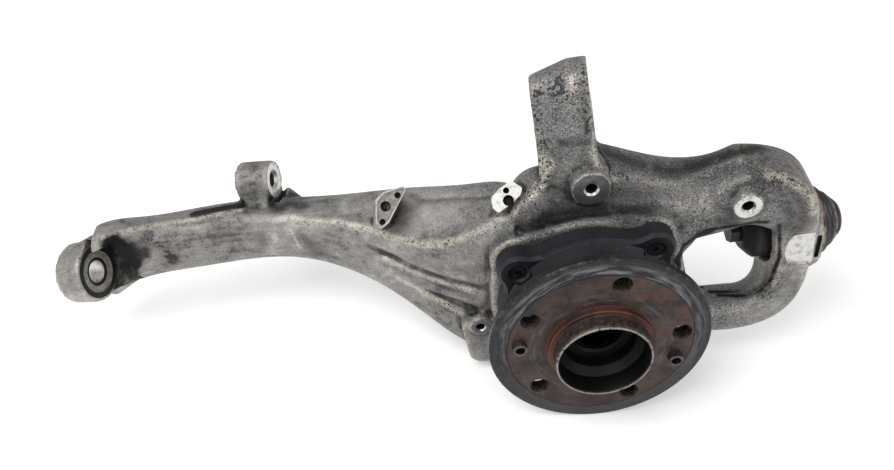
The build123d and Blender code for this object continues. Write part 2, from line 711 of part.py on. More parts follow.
def socket_closer():
    """Ring that keeps the liner in the cartridge."""
    outer = SOCKET_R - SOCKET_WALL - SEAT_GAP
    return turned_about(
        JOINT_CENTRE,
        JOINT_AXIS,
        [(17.5, 11.1), (outer, 11.1), (outer, 13.6), (18.5, 13.6)],
    )


def ball_stud():
    """Ball, neck, collar and tapped end."""
    shank = make_face(
        Polyline(
            (0, 0, 0),
            (STUD_NECK_R, 0, 0),
            (STUD_NECK_R, 0, BOOT_SMALL_S - 8),
            (STUD_NECK_R + 3, 0, BOOT_SMALL_S - 3),
            (STUD_COLLAR_R - 1, 0, BOOT_SMALL_S - 2),
            (STUD_COLLAR_R - 1, 0, BOOT_SMALL_S + 2),
            (STUD_COLLAR_R, 0, BOOT_SMALL_S + 2.5),
            (STUD_COLLAR_R, 0, STUD_END - 2),
            (STUD_COLLAR_R - 2, 0, STUD_END),
            (0, 0, STUD_END),
            close=True,
        )
    )
    stud = Sphere(BALL_R) + revolve(shank, Axis.Z)
    thread = Cylinder(
        STUD_THREAD_D / 2, STUD_THREAD_L, align=(Align.CENTER, Align.CENTER, Align.MAX)
    )
    return on_axis(JOINT_CENTRE, JOINT_AXIS).location * (stud - Pos(0, 0, STUD_END) * thread)


def joint_boot():
    """Rubber boot with two folds, from the cartridge mouth to the stud collar."""
    outside = [
        (BOOT_BIG_R, BOOT_BIG_S - 3),
        (BOOT_BIG_R, BOOT_BIG_S + 1.5),
        (BOOT_BIG_R + 1.2, BOOT_BIG_S + 3.5),
        (BOOT_BIG_R - 2, BOOT_BIG_S + 5.5),
        (BOOT_BIG_R - 4.5, BOOT_BIG_S + 6.5),
        (BOOT_BIG_R - 3, BOOT_BIG_S + 8.5),
        (BOOT_BIG_R - 4, BOOT_BIG_S + 10.5),
        (STUD_COLLAR_R + 1.4, BOOT_SMALL_S - 1.6),
        (STUD_COLLAR_R + 1.2, BOOT_SMALL_S + 2.2),
    ]
    inside = [
        (STUD_COLLAR_R - 0.9, BOOT_SMALL_S + 1.8),
        (STUD_COLLAR_R - 0.9, BOOT_SMALL_S - 1.8),
        (BOOT_BIG_R - 6.5, BOOT_BIG_S + 10),
        (BOOT_BIG_R - 5, BOOT_BIG_S + 8.5),
        (BOOT_BIG_R - 7, BOOT_BIG_S + 6.3),
        (BOOT_BIG_R - 3.6, BOOT_BIG_S + 4.2),
        (BOOT_BIG_R - 1, BOOT_BIG_S + 2.8),
        (BOOT_BIG_R - BOOT_WALL, BOOT_BIG_S + 1.2),
        (BOOT_BIG_R - BOOT_WALL, BOOT_BIG_S - 3),
    ]
    return turned_about(JOINT_CENTRE, JOINT_AXIS, outside + inside)


def clamp_ring(r, s, wire):
    """Round-wire boot clamp."""
    ring = Pos(r + wire + SEAT_GAP, 0, 0) * Rot(90, 0, 0) * Circle(wire)
    return on_axis(along(JOINT_CENTRE, JOINT_AXIS, s), JOINT_AXIS).location * revolve(ring, Axis.Z)


def write(name, shape):
    """Write one node's solids to its own file."""
    solids = shape if isinstance(shape, list) else [shape]
    out = Compound(children=[s for s in solids]) if len(solids) > 1 else solids[0]
    out.label = name
    export_step(out, f"parts/{name}.step")


PARTS = {
    "knuckle_casting": knuckle_casting,
    "wheel_hub": wheel_hub,
    "bearing_outer_ring": bearing_outer_ring,
    "bearing_inner_ring": bearing_inner_ring,
    "outboard_balls": lambda: ball_row(ROW_Y[0]),
    "inboard_balls": lambda: ball_row(ROW_Y[1]),
    "outboard_cage": lambda: cage(ROW_Y[0], False),
    "inboard_cage": lambda: cage(ROW_Y[1], True),
    "front_seal": front_seal,
    "rear_seal": rear_seal,
    "encoder_ring": encoder_ring,
    "bearing_bolts": bearing_bolts,
    "disc_sleeves": disc_sleeves,
    "ball_joint_housing": socket_housing,
    "ball_joint_liner": socket_liner,
    "ball_joint_closer": socket_closer,
    "ball_stud": ball_stud,
    "joint_boot": joint_boot,
    "boot_clamp_large": lambda: clamp_ring(BOOT_BIG_R, BOOT_BIG_S - 0.5, CLAMP_WIRE_R),
    "boot_clamp_small": lambda: clamp_ring(STUD_COLLAR_R + 1.4, BOOT_SMALL_S, CLAMP_WIRE_R),
}

for part_name, make in PARTS.items():
    write(part_name, make())
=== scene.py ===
"""Looks of a front steering knuckle with its wheel bearing, hub and lower ball joint.

Metres, +Z up; sizes in the classes are millimetres. The origin is the centre of the hub's
wheel face. -Y points outwards along the wheel axis, -X runs up the neck and +Z is the side
of the steering arm.
"""

import json
import logging
import math
from dataclasses import dataclass
from enum import Enum
from functools import partial
from typing import Any, Sequence

import bmesh
import bpy
import numpy as np
from mathutils import Matrix, Vector

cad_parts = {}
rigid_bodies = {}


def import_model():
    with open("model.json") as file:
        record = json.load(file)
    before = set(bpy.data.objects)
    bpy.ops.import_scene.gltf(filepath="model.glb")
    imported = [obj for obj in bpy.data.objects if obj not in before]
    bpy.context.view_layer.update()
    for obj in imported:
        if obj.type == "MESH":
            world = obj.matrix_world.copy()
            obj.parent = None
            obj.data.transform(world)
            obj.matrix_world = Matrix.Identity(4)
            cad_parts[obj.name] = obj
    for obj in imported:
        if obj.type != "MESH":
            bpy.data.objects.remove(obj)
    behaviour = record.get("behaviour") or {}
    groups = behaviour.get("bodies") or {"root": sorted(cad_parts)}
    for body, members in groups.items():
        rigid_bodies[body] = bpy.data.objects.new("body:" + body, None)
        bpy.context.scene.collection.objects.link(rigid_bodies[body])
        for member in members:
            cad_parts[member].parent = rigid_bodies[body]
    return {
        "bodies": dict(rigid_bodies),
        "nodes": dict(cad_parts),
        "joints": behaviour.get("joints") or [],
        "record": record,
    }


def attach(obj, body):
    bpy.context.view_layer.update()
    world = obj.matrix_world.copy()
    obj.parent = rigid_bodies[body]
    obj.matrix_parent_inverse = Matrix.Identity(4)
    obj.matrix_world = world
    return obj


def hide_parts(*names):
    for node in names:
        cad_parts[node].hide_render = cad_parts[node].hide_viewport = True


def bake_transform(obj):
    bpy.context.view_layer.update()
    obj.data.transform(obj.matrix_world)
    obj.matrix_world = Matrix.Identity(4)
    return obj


LOG = logging.getLogger("knuckle")
MM = 0.001

Value = bpy.types.NodeSocket | float
Zone = tuple[float, ...]
Outline = Sequence[tuple[float, float]]

WHEEL_AXIS = Vector((0, 1, 0))
JOINT_CENTRE = Vector((168, 98.7, 25.7))
JOINT_AXIS = Vector((1.0, 0.066, 0.066)).normalized()
# Faces round a cutting tool, and the gap over which loose CAD triangles are merged.
TOOL_SIDES = 96
MERGE_MM = 0.005
# A fillet takes up no more than this share of an edge.
FILLET_SHARE = 0.49


class Body(Enum):
    """The rigid bodies that pieces ride on."""

    KNUCKLE = "knuckle"
    HUB = "hub"
    STUD = "stud"


# ---- Colours and nodes ----
def linear(hexcode: str) -> tuple[float, float, float, float]:
    """Turns an sRGB hex colour into linear values.

    Args:
        hexcode: six hex digits, such as "8c8b87".

    Returns:
        Linear red, green, blue and an alpha of 1.
    """
    parts = [int(hexcode[i : i + 2], 16) / 255 for i in (0, 2, 4)]
    done = [c / 12.92 if c <= 0.04045 else ((c + 0.055) / 1.055) ** 2.4 for c in parts]
    return (done[0], done[1], done[2], 1.0)


def fill(socket: bpy.types.NodeSocket, value: Any) -> None:
    """Links an output socket to an input, or sets the input to a plain value."""
    if isinstance(value, bpy.types.NodeSocket):
        socket.id_data.links.new(value, socket)
    else:
        socket.default_value = value


def add_node(
    tree: bpy.types.NodeTree, kind: str, links: dict[Any, Any], output: Any = 0, **settings: Any
) -> Any:
    """Adds one node, sets its properties and fills or links its inputs.

    Args:
        tree: the node tree to add to.
        kind: the node's type identifier.
        links: an output socket or a plain value for each input, by input name or index.
        output: name or index of the output that is wanted.
        settings: the node's own properties.

    Returns:
        The wanted output socket, or None where the node has no outputs.
    """
    node = tree.nodes.new(kind)
    for name, value in settings.items():
        setattr(node, name, value)
    for name, value in links.items():
        fill(node.inputs[name], value)
    return node.outputs[output] if node.outputs else None


class Graph:
    """A node tree under construction."""

    def __init__(self, tree: bpy.types.NodeTree) -> None:
        """Takes the tree that the nodes are added to."""
        self.tree = tree
        self.add = partial(add_node, tree)

    def maths(self, operation: str, *values: Value) -> Value:
        """A Math node on sockets and numbers."""
        return self.add("ShaderNodeMath", dict(enumerate(values)), operation=operation)

    def product(self, *values: Value) -> Value:
        """Multiplies values.

        Args:
            values: sockets and numbers; one alone is handed back as it is.

        Returns:
            The product.
        """
        result = values[0]
        for value in values[1:]:
            result = self.maths("MULTIPLY", result, value)
        return result

    def weighted(self, *terms: tuple[Value, float]) -> Value:
        """Adds up values, each times its weight.

        Args:
            terms: pairs of a value and its weight.

        Returns:
            The sum.
        """
        result = self.product(*terms[0])
        for term in terms[1:]:
            result = self.maths("ADD", result, self.product(*term))
        return result


class Recipe(Graph):
    """A material under construction: colours are laid over each other and then set."""

    def __init__(self, name: str, base: str) -> None:
        """Starts a material with a Principled shader and its lowest colour."""
        self.material = bpy.data.materials.new(name)
        self.material.use_nodes = True
        super().__init__(self.material.node_tree)
        self.tree.nodes.clear()
        self.surface = self.add("ShaderNodeBsdfPrincipled", {})
        self.place = self.add("ShaderNodeTexCoord", {}, "Object")
        self.colour: Any = linear(base)

    def grain(self, size_mm: float, detail: float, rough: float, at: Any = None) -> Value:
        """Noise whose blotches are about as wide as the given size.

        Args:
            size_mm: width of a blotch.
            detail: octaves of finer noise.
            rough: how strongly the finer octaves show.
            at: vector socket, object coordinates if left out.

        Returns:
            The noise value, mostly 0.3 to 0.7.
        """
        links = {"Vector": at or self.place, "Scale": 0.6 / (size_mm * MM)}
        links |= {"Detail": detail, "Roughness": rough}
        return self.add("ShaderNodeTexNoise", links, "Fac", noise_dimensions="3D")

    def ramp(self, value: Value, low: float, high: float) -> Value:
        """Smooth step of a value from 0 at low to 1 at high; low may be above high."""
        links = {"Value": value, "From Min": low, "From Max": high, "To Min": 0.0, "To Max": 1.0}
        return self.add("ShaderNodeMapRange", links, "Result", interpolation_type="SMOOTHSTEP")

    def zone(self, value: Value, edges: Zone) -> Value:
        """Mask over a length: a smooth step for each pair of edges in millimetres, multiplied."""
        pairs = zip(edges[::2], edges[1::2])
        return self.product(*(self.ramp(value, low * MM, high * MM) for low, high in pairs))

    def axis(self, which: str) -> Value:
        """One object coordinate in metres."""
        return self.add("ShaderNodeSeparateXYZ", {0: self.place}, which)

    def attribute(self, name: str) -> Value:
        """A value stored on the piece's vertices."""
        return self.add("ShaderNodeAttribute", {}, "Fac", attribute_name=name)

    def blend(self, mask: Value, below: Value, above: Value) -> Value:
        """Number between below and above by the mask."""
        links = {"Factor": mask, 2: below, 3: above}
        return self.add("ShaderNodeMix", links, 0, data_type="FLOAT", clamp_factor=True)

    def mix(self, mask: Value, below: Any, above: Any) -> Any:
        """Mixes two colours, each a hex code or a socket.

        Args:
            mask: 0 for the lower colour, 1 for the upper one.
            below: the lower colour.
            above: the upper colour.

        Returns:
            The mixed colour.
        """
        below, above = (linear(c) if isinstance(c, str) else c for c in (below, above))
        links = {"Factor": mask, 6: below, 7: above}
        return self.add("ShaderNodeMix", links, 2, data_type="RGBA", clamp_factor=True)

    def coat(self, colour: Any, *masks: Value) -> None:
        """Lays a colour over those beneath, as strongly as the product of the masks."""
        self.colour = self.mix(self.product(*masks), self.colour, colour)

    def relief(self, height: Value, depth_mm: float) -> None:
        """Bump of the given depth from a height between 0 and 1."""
        links = {"Height": height, "Distance": depth_mm * MM, "Strength": 1.0}
        self.set(Normal=self.add("ShaderNodeBump", links))

    def set(self, **values: Any) -> None:
        """Sets or links the shader's sockets; an underscore in a name stands for a space."""
        for name, value in values.items():
            fill(self.surface.node.inputs[name.replace("_", " ")], value)

    def done(self, surface: Any = None) -> bpy.types.Material:
        """Sets the laid-up colour and adds the output node.

        Args:
            surface: what the output shows, the Principled shader if left out.

        Returns:
            The material.
        """
        self.set(Base_Color=self.colour)
        self.add("ShaderNodeOutputMaterial", {"Surface": surface or self.surface})
        return self.material


# ---- Finishes ----
@dataclass(frozen=True)
class WeatheredCastAluminium:
    """Sand-cast aluminium after years of road salt: a dull speckled skin with rubbed ridges, with
    painted shade and painted highlight laid into its colour.
    """

    skin: str = "8e8c89"
    skin_dark: str = "5a5856"
    skin_light: str = "b9b6b1"
    body: str = "626264"
    # Pale cream: wear on the ridges, and painted highlight along them.
    smooth: str = "1c1c1f"
    # Dark tone of the shade bands: oxide, and painted shade.
    ridge: str = "cbc4b7"
    fleck_dark: str = "2b2b2e"
    fleck_light: str = "bdbbb6"
    # Near black: dirt in the pits, and painted shade in the hollows.
    dirt_and_shade: str = "070708"
    # Near black: old grease, and painted shade along the window's rims.
    grease_and_shade: str = "08090b"
    rust: str = "2b190f"
    body_along_x: Zone = (-130, -30, 180, 110)

    def material(self) -> bpy.types.Material:
        """Builds the material."""
        r = Recipe("weathered_cast_aluminium", self.skin_dark)
        body = r.zone(r.axis("X"), self.body_along_x)
        mottle = r.grain(6, 4, 0.65)
        # Streaks drawn out along the neck: noise on coordinates squeezed along X.
        squeezed = {"Vector": r.place, "Scale": (0.16, 1, 1)}
        drawn = r.grain(3, 4, 0.65, r.add("ShaderNodeMapping", squeezed, vector_type="POINT"))
        tone = r.weighted((r.grain(34, 3, 0.55), 0.4), (mottle, 0.35), (drawn, 0.25))
        r.coat(self.skin, r.ramp(tone, 0.38, 0.5))
        r.coat(self.skin_light, r.ramp(tone, 0.5, 0.64))
        r.coat(self.body, body, 0.5)
        r.coat(self.skin_light, r.attribute("pale"), 0.7)

        # Fine salt bloom: millimetre flecks, thick on the body and thin along the neck.
        fine = r.grain(0.75, 3, 0.7)
        thick = r.blend(body, 0.3, 0.85)
        r.coat(self.fleck_dark, r.ramp(fine, 0.47, 0.36), thick)
        r.coat(self.fleck_light, r.ramp(fine, 0.56, 0.66), thick)

        # Smooth dark bands along the shade strokes: partly oxide that the skin kept, partly
        # painted shade where the casting lies in shadow.
        shade_band = r.product(r.attribute("shade"), r.ramp(mottle, 0.26, 0.46))
        r.coat(self.smooth, shade_band, 0.85)

        # Ridges rubbed pale, with painted highlight along them; hollows darkened, partly dirt and
        # partly painted shade.
        crest = r.maths("MAXIMUM", r.attribute("crest"), r.product(r.attribute("proud"), 0.5))
        worn_and_lit = r.weighted((fine, 0.6), (r.grain(4, 4, 0.7), 0.4))
        r.coat(self.ridge, r.ramp(crest, 0.1, 0.85), r.ramp(worn_and_lit, 0.43, 0.53), 0.85)
        r.coat(self.dirt_and_shade, r.ramp(r.attribute("sunk"), 0.06, 0.65), r.ramp(mottle, 0.3, 0.58), 0.82)

        # Corrosion pits filled with black oxide, crowded on the body and along pitted runs.
        crowd = r.ramp(r.grain(26, 3, 0.6), 0.42, 0.62)
        dense = r.weighted((body, 0.05), (crowd, 0.05), (r.attribute("pits"), 0.17))
        pit = r.ramp(r.maths("ADD", r.grain(1.6, 3, 0.62), dense), 0.71, 0.745)
        r.coat(self.dirt_and_shade, pit, 0.93)

        # Rust carried on from the joint, and old grease; the same near black paints shade as thin
        # lines along the window's rims.
        rusty = r.product(r.attribute("rust"), r.ramp(mottle, 0.38, 0.55))
        r.coat(self.rust, rusty)
        grease_and_shade_mask = r.weighted((r.attribute("grease_and_shade"), 2.0), (mottle, 1.6), (fine, 1.2))
        grease_and_shade_mask = r.ramp(grease_and_shade_mask, 1.9, 2.75)
        r.coat(self.grease_and_shade, grease_and_shade_mask)

        rough = r.blend(shade_band, r.blend(tone, 0.72, 0.5), 0.5)
        bare = r.blend(r.maths("MAXIMUM", pit, rusty), 0.7, 0.0)
        r.set(Roughness=r.blend(grease_and_shade_mask, rough, 0.5), Metallic=bare)
        r.relief(r.weighted((r.grain(1.4, 3, 0.6), 0.5), (pit, -0.8)), 0.4)
        return r.done()


@dataclass(frozen=True)
class MachinedAluminium:
    """Aluminium faced by a cutter: bright, with fine tool marks and a few dull stains."""

    bright: str = "cfceca"
    dull: str = "918f8b"

    def material(self) -> bpy.types.Material:
        """Builds the material."""
        r = Recipe("machined_aluminium", self.bright)
        r.coat(self.dull, r.ramp(r.grain(2.5, 4, 0.7), 0.45, 0.75))
        r.set(Roughness=0.34, Metallic=0.9)
        r.relief(r.grain(0.6, 2, 0.5), 0.04)
        return r.done()


@dataclass(frozen=True)
class PlainFinish:
    """A finish of one colour with a little cloudiness, for pieces that are small or hidden."""

    name: str
    colour: str
    clouded: str
    roughness: float
    metallic: float
    cloud_mm: float = 6.0
    bump_mm: float = 0.05
    ior: float | None = None

    def material(self) -> bpy.types.Material:
        """Builds the material."""
        r = Recipe(self.name, self.colour)
        r.coat(self.clouded, r.ramp(r.grain(self.cloud_mm, 5, 0.6), 0.38, 0.64))
        r.set(Roughness=self.roughness, Metallic=self.metallic)
        if self.ior is not None:
            r.set(IOR=self.ior)
        r.relief(r.grain(self.cloud_mm / 4, 3, 0.5), self.bump_mm)
        return r.done()


@dataclass(frozen=True)
class RustedHubSteel:
    """Turned forging steel: brown rust film on the face, grey worn rim lit paler on top as painted
    light, copper-red disc seat, painted shade in the bore.
    """

    face: str = "4a3d38"
    face_dark: str = "2a2423"
    face_red: str = "553a31"
    bare: str = "5c5d64"
    rim: str = "1f1f22"
    rim_light: str = "75757c"
    edge: str = "6a625c"
    seat: str = "5c382d"
    seat_dark: str = "39261f"
    tube: str = "4c413a"
    mouth: str = "8d8882"
    # Near black: painted shade in the bore and along the groove before the rim.
    bore: str = "060608"

    # Zones by distance from the wheel axis.
    rubbed_at: Zone = (42.5, 44.5, 54.5, 51.5)
    groove_at: Zone = (68.2, 69.0, 70.4, 69.6)
    rim_at: Zone = (69.4, 70.1)
    rim_shine_at: Zone = (81.5, 72.5)
    corner_at: Zone = (80.9, 81.5)
    seat_at: Zone = (41.2, 40.2)
    bore_at: Zone = (34.2, 33.4)
    mouth_at: Zone = (33.5, 34.2)

    # Zones by depth behind the wheel face.
    corner_deep: Zone = (4.2, 3.0)
    back_deep: Zone = (4.5, 6.0)
    seat_deep: Zone = (0.6, -0.2)
    tube_deep: Zone = (-5.8, -6.6)
    mouth_deep: Zone = (-16.9, -17.3)

    def material(self) -> bpy.types.Material:
        """Builds the material."""
        r = Recipe("rusted_hub_steel", self.face_dark)
        flat = r.add("ShaderNodeVectorMath", {0: r.place, 1: (1, 0, 1)}, operation="MULTIPLY")
        radius = r.add("ShaderNodeVectorMath", {0: flat}, "Value", operation="LENGTH")
        depth = r.axis("Y")

        # Coordinates that run round the axis, so that wear follows the turning marks.
        spun = {a: r.product(r.maths("DIVIDE", r.axis(a), radius), 0.03) for a in "XZ"}
        spun["Y"] = r.product(radius, 3.0)
        streak = r.grain(5, 4, 0.6, r.add("ShaderNodeCombineXYZ", spun))
        cloud = r.grain(15, 4, 0.6)
        fine = r.grain(2.4, 4, 0.7)

        # Rust film on the wheel face, rubbed bare in a ring, and a dark line of painted shade for
        # the groove before the rim.
        r.coat(self.face, r.ramp(cloud, 0.36, 0.6))
        red = r.ramp(r.grain(11, 3, 0.6), 0.46, 0.6)
        r.coat(self.face_red, red, r.ramp(r.axis("X"), -0.06, 0.06), 0.8)
        r.coat(self.face_dark, r.ramp(fine, 0.5, 0.4), 0.55)
        r.coat(self.bare, r.zone(radius, self.rubbed_at), r.ramp(streak, 0.5, 0.62), 0.45)
        r.coat(self.bore, r.zone(radius, self.groove_at), 0.8)

        # Bevelled rim: black, streaked grey where it is worn, with the streaks paler towards its
        # upper side as painted light.
        rim = r.zone(radius, self.rim_at)
        streak_and_top_light = r.blend(r.ramp(r.axis("Z"), -0.05, 0.07), 0.12, 0.8)
        streak_and_top_light = r.product(r.ramp(streak, 0.4, 0.64), streak_and_top_light, r.zone(radius, self.rim_shine_at))
        tone = r.mix(streak_and_top_light, self.rim, self.rim_light)
        r.coat(r.mix(r.product(r.ramp(fine, 0.52, 0.66), 0.5), tone, self.face), rim)
        corner = r.product(r.zone(radius, self.corner_at), r.zone(depth, self.corner_deep))
        r.coat(self.edge, corner, r.ramp(fine, 0.46, 0.7), 0.35)
        r.coat(self.face_dark, r.zone(depth, self.back_deep), 0.8)

        # Disc seat, spigot, bore painted near black as shade, and the spigot's bright mouth.
        tone = r.mix(r.ramp(cloud, 0.42, 0.62), self.seat, self.seat_dark)
        r.coat(tone, r.zone(radius, self.seat_at), r.zone(depth, self.seat_deep))
        tone = r.mix(r.ramp(fine, 0.4, 0.6), self.face_dark, self.tube)
        r.coat(tone, r.zone(depth, self.tube_deep))
        r.coat(self.bore, r.zone(radius, self.bore_at))
        mouth = r.product(r.zone(depth, self.mouth_deep), r.zone(radius, self.mouth_at))
        r.coat(self.mouth, mouth, r.ramp(fine, 0.36, 0.5))
        r.set(Metallic=0.55, Roughness=r.blend(rim, 0.52, 0.36))
        r.relief(r.weighted((fine, 0.6), (r.product(streak, rim), 0.4)), 0.12)
        return r.done()


@dataclass(frozen=True)
class BlackenedSteel:
    """Oiled black oxide on forged steel: one smooth dark tone with soft edges."""

    colour: str = "232428"
    clouded: str = "2c2d32"
    scuff: str = "3c3d43"

    def material(self) -> bpy.types.Material:
        """Builds the material."""
        r = Recipe("blackened_steel", self.colour)
        r.coat(self.clouded, r.ramp(r.grain(16, 4, 0.6), 0.4, 0.62))
        r.coat(self.scuff, r.ramp(r.grain(2.2, 3, 0.6), 0.6, 0.72), 0.6)
        r.set(Roughness=0.5, Metallic=0.5)
        r.relief(r.grain(1.6, 3, 0.5), 0.06)
        return r.done()


class Finishes:
    """Every finish in the scene, each built once."""

    def __init__(self) -> None:
        """Builds the materials."""
        self.cast = WeatheredCastAluminium().material()
        self.machined = MachinedAluminium().material()
        self.hub = RustedHubSteel().material()
        self.black_steel = BlackenedSteel().material()

        def plain(*values: Any, **named: Any) -> bpy.types.Material:
            """A plain finish's material."""
            return PlainFinish(*values, **named).material()

        # Milled aluminium gone dull in the air: mid grey with a soft sheen.
        self.dulled = plain("dulled_milled_aluminium", "58595b", "6b6c6e", 0.5, 0.8, 3)
        # Milled aluminium with a dried water stain: pale, warm and almost flat.
        self.stained = plain("stained_milled_aluminium", "827e77", "a29e97", 0.6, 0.4, 2)
        # Black and matt: road grime on faces, and painted shade on the walls of holes and slots,
        # so that they read as deep.
        self.grime_and_shade = plain("packed_road_grime", "060607", "101011", 0.7, 0.0, 3)
        # Tapped steel left bare: painted near black as the shade of the deep holes, with brown on
        # the thread's crests.
        self.tapped = plain("tapped_steel", "0c0b0b", "3a302a", 0.5, 0.6, 2.5)
        # Ground and hardened bearing steel: light grey and mirror-like.
        self.bearing = plain("ground_bearing_steel", "9a9a9c", "868688", 0.2, 1.0)
        # Phosphated steel of bolts and stud: dark grey with an oily sheen.
        self.bolt = plain("phosphated_bolt_steel", "3a3a40", "242529", 0.4, 0.7, 3)
        # Turned sleeve steel, partly rusted: brownish grey with a bright lip.
        self.sleeve = plain("turned_sleeve_steel", "5e5b59", "332f2d", 0.38, 0.8, 3)
        # Rolled spring steel: bare and straw-coloured where its rust was rubbed.
        self.clamp = plain("rolled_spring_steel", "8f7f6d", "5a4232", 0.35, 0.85, 4)
        # Moulded rubber: soft black with broad highlights on its folds.
        self.rubber = plain("moulded_black_rubber", "1f2023", "2b2c30", 0.34, 0.0, 9, 0.1, 1.52)
        # Moulded acetal: waxy off-white.
        self.liner = plain("moulded_acetal", "d9d5c8", "cfcabc", 0.45, 0.0, ior=1.48)
        # Moulded glass-filled nylon: dark grey and slightly grained.
        self.cage = plain("moulded_nylon", "2b2d33", "33353b", 0.5, 0.0, ior=1.53)
        # Moulded sealing rubber: black and less glossy than the boot.
        self.seal = plain("moulded_sealing_rubber", "1f2022", "2a2b2d", 0.5, 0.0, ior=1.52)


# ---- Mesh helpers ----
def new_object(name: str, data: bpy.types.ID) -> bpy.types.Object:
    """Links a mesh, lamp or camera into the scene as an object at the origin."""
    obj = bpy.data.objects.new(name, data)
    bpy.context.scene.collection.objects.link(obj)
    return obj


def finished(
    work: bmesh.types.BMesh, name: str, material: bpy.types.Material | None
) -> bpy.types.Object:
    """Turns a closed bmesh into an object whose faces point outwards.

    Args:
        work: the bmesh, which is freed.
        name: name of the object.
        material: material of its faces, if it has one.

    Returns:
        The object.
    """
    bmesh.ops.recalc_face_normals(work, faces=work.faces)
    mesh = bpy.data.meshes.new(name)
    work.to_mesh(mesh)
    work.free()
    if material:
        mesh.materials.append(material)
    return new_object(name, mesh)


def merged_copy(node: bpy.types.Object, name: str) -> bpy.types.Object:
    """Copies a CAD node and merges its loose triangles into one closed skin.

    Args:
        node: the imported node.
        name: name of the copy.

    Returns:
        The copy, at the origin and without materials.
    """
    work = bmesh.new()
    work.from_mesh(node.data)
    bmesh.ops.remove_doubles(work, verts=work.verts, dist=MERGE_MM * MM)
    return finished(work, name, None)


def add_band(work: bmesh.types.BMesh, near: Sequence[Any], far: Sequence[Any]) -> None:
    """Joins two rings of points with a band of faces."""
    for k in range(len(near)):
        after = (k + 1) % len(near)
        work.faces.new((near[k], near[after], far[after], far[k]))


def settle(obj: bpy.types.Object) -> None:
    """Turns an object's modifiers into its plain mesh and removes them.

    Args:
        obj: the object.
    """
    depsgraph = bpy.context.evaluated_depsgraph_get()
    mesh = bpy.data.meshes.new_from_object(obj.evaluated_get(depsgraph))
    obj.modifiers.clear()
    old = obj.data
    obj.data = mesh
    mesh.name = obj.name
    if old.users == 0:
        bpy.data.meshes.remove(old)


def discard(obj: bpy.types.Object) -> None:
    """Removes a helper object and its mesh."""
    mesh = obj.data
    bpy.data.objects.remove(obj)
    if mesh.users == 0:
        bpy.data.meshes.remove(mesh)


def carve(obj: bpy.types.Object, tool: bpy.types.Object, operation: str = "DIFFERENCE") -> None:
    """Cuts a closed tool out of a closed object, or joins it, and removes the tool.

    Args:
        obj: the piece.
        tool: the tool, whose material goes onto the faces that it leaves.
        operation: DIFFERENCE or UNION.
    """
    cut = obj.modifiers.new("cut", "BOOLEAN")
    cut.operation = operation
    cut.object = tool
    cut.solver = "MANIFOLD"
    settle(obj)
    discard(tool)


def join_into(obj: bpy.types.Object, others: Sequence[bpy.types.Object]) -> None:
    """Adds other objects' faces to an object's mesh and removes them.

    Args:
        obj: the object that takes up the others.
        others: the objects that are removed.
    """
    work = bmesh.new()
    for piece in (obj, *others):
        work.from_mesh(piece.data)
    work.to_mesh(obj.data)
    work.free()
    for other in others:
        discard(other)


def even_out(obj: bpy.types.Object, voxel_mm: float, rounds: int) -> None:
    """Rebuilds a skin as even small faces and softens its edges like a casting's.

    Args:
        obj: a closed object, or several closed shells that overlap.
        voxel_mm: size of the new faces.
        rounds: how often the skin is smoothed.
    """
    remesh = obj.modifiers.new("remesh", "REMESH")
    remesh.mode = "VOXEL"
    remesh.voxel_size = voxel_mm * MM
    soften = obj.modifiers.new("soften", "SMOOTH")
    soften.factor = 0.5
    soften.iterations = rounds
    settle(obj)


def smooth_shading(obj: bpy.types.Object, degrees: float) -> None:
    """Shades a mesh smooth, apart from edges sharper than the angle."""
    obj.data.shade_smooth()
    obj.data.set_sharp_from_angle(angle=math.radians(degrees))


def rounded(
    corners: Outline, radii: Sequence[float], closed: bool = True, steps: int = 5
) -> list[tuple[float, float]]:
    """Rounds the corners of an outline.

    Args:
        corners: the outline's corners.
        radii: one radius for each corner, 0 for a sharp one.
        closed: whether the last corner joins the first.
        steps: edges in each rounded corner.

    Returns:
        The outline with each rounded corner as a short run of points.
    """
    total = len(corners)
    outline: list[tuple[float, float]] = []
    for k, (corner, radius) in enumerate(zip(corners, radii)):
        here = Vector(corner)
        if radius <= 0 or (not closed and k in (0, total - 1)):
            outline.append(tuple(here))
            continue
        before = Vector(corners[k - 1]) - here
        after = Vector(corners[(k + 1) % total]) - here
        run = radius / math.tan(before.angle(after) / 2)
        reach = min(run, before.length * FILLET_SHARE, after.length * FILLET_SHARE)
        first = here + before.normalized() * reach
        last = here + after.normalized() * reach
        for t in (step / steps for step in range(steps + 1)):
            outline.append(tuple(first * (1 - t) ** 2 + here * 2 * t * (1 - t) + last * t**2))
    return outline


@dataclass(frozen=True)
class Cut:
    """A round tool that faces, bores or chamfers a piece, along an axis from a point."""

    point: Vector
    axis: Vector
    start: float
    end: float
    r_start: float
    r_end: float
    finish: str = "machined"

    def shape(self, material: bpy.types.Material | None = None) -> bpy.types.Object:
        """Builds the tool's closed mesh.

        Args:
            material: material of the faces that it cuts.

        Returns:
            The tool.
        """
        low, high = ((self.point + self.axis * reach) * MM for reach in (self.start, self.end))
        turn = Vector((0, 0, 1)).rotation_difference((high - low).normalized())
        work = bmesh.new()
        bmesh.ops.create_cone(
            work,
            cap_ends=True,
            segments=TOOL_SIDES,
            radius1=self.r_start * MM,
            radius2=self.r_end * MM,
            depth=(high - low).length,
            matrix=Matrix.Translation((low + high) / 2) @ turn.to_matrix().to_4x4(),
        )
        return finished(work, "tool", material)


def machine(piece: bpy.types.Object, cuts: Sequence[Cut], finishes: Finishes) -> None:
    """Runs tools over a piece in order, each leaving its own finish."""
    for cut in cuts:
        carve(piece, cut.shape(getattr(finishes, cut.finish)))


@dataclass(frozen=True)
class Bore:
    """A bore and its faces: the rough hole is plugged, then tools run along its axis.

    A tool is its start and end along the axis, its radius at each, and the finish it leaves.
    """

    point: Vector
    axis: Vector
    tools: Sequence[tuple[Any, ...]]
    plug: Zone | None = None

    def cuts(self) -> list[Cut]:
        """The tools in the order of their use."""
        return [Cut(self.point, self.axis, *tool) for tool in self.tools]


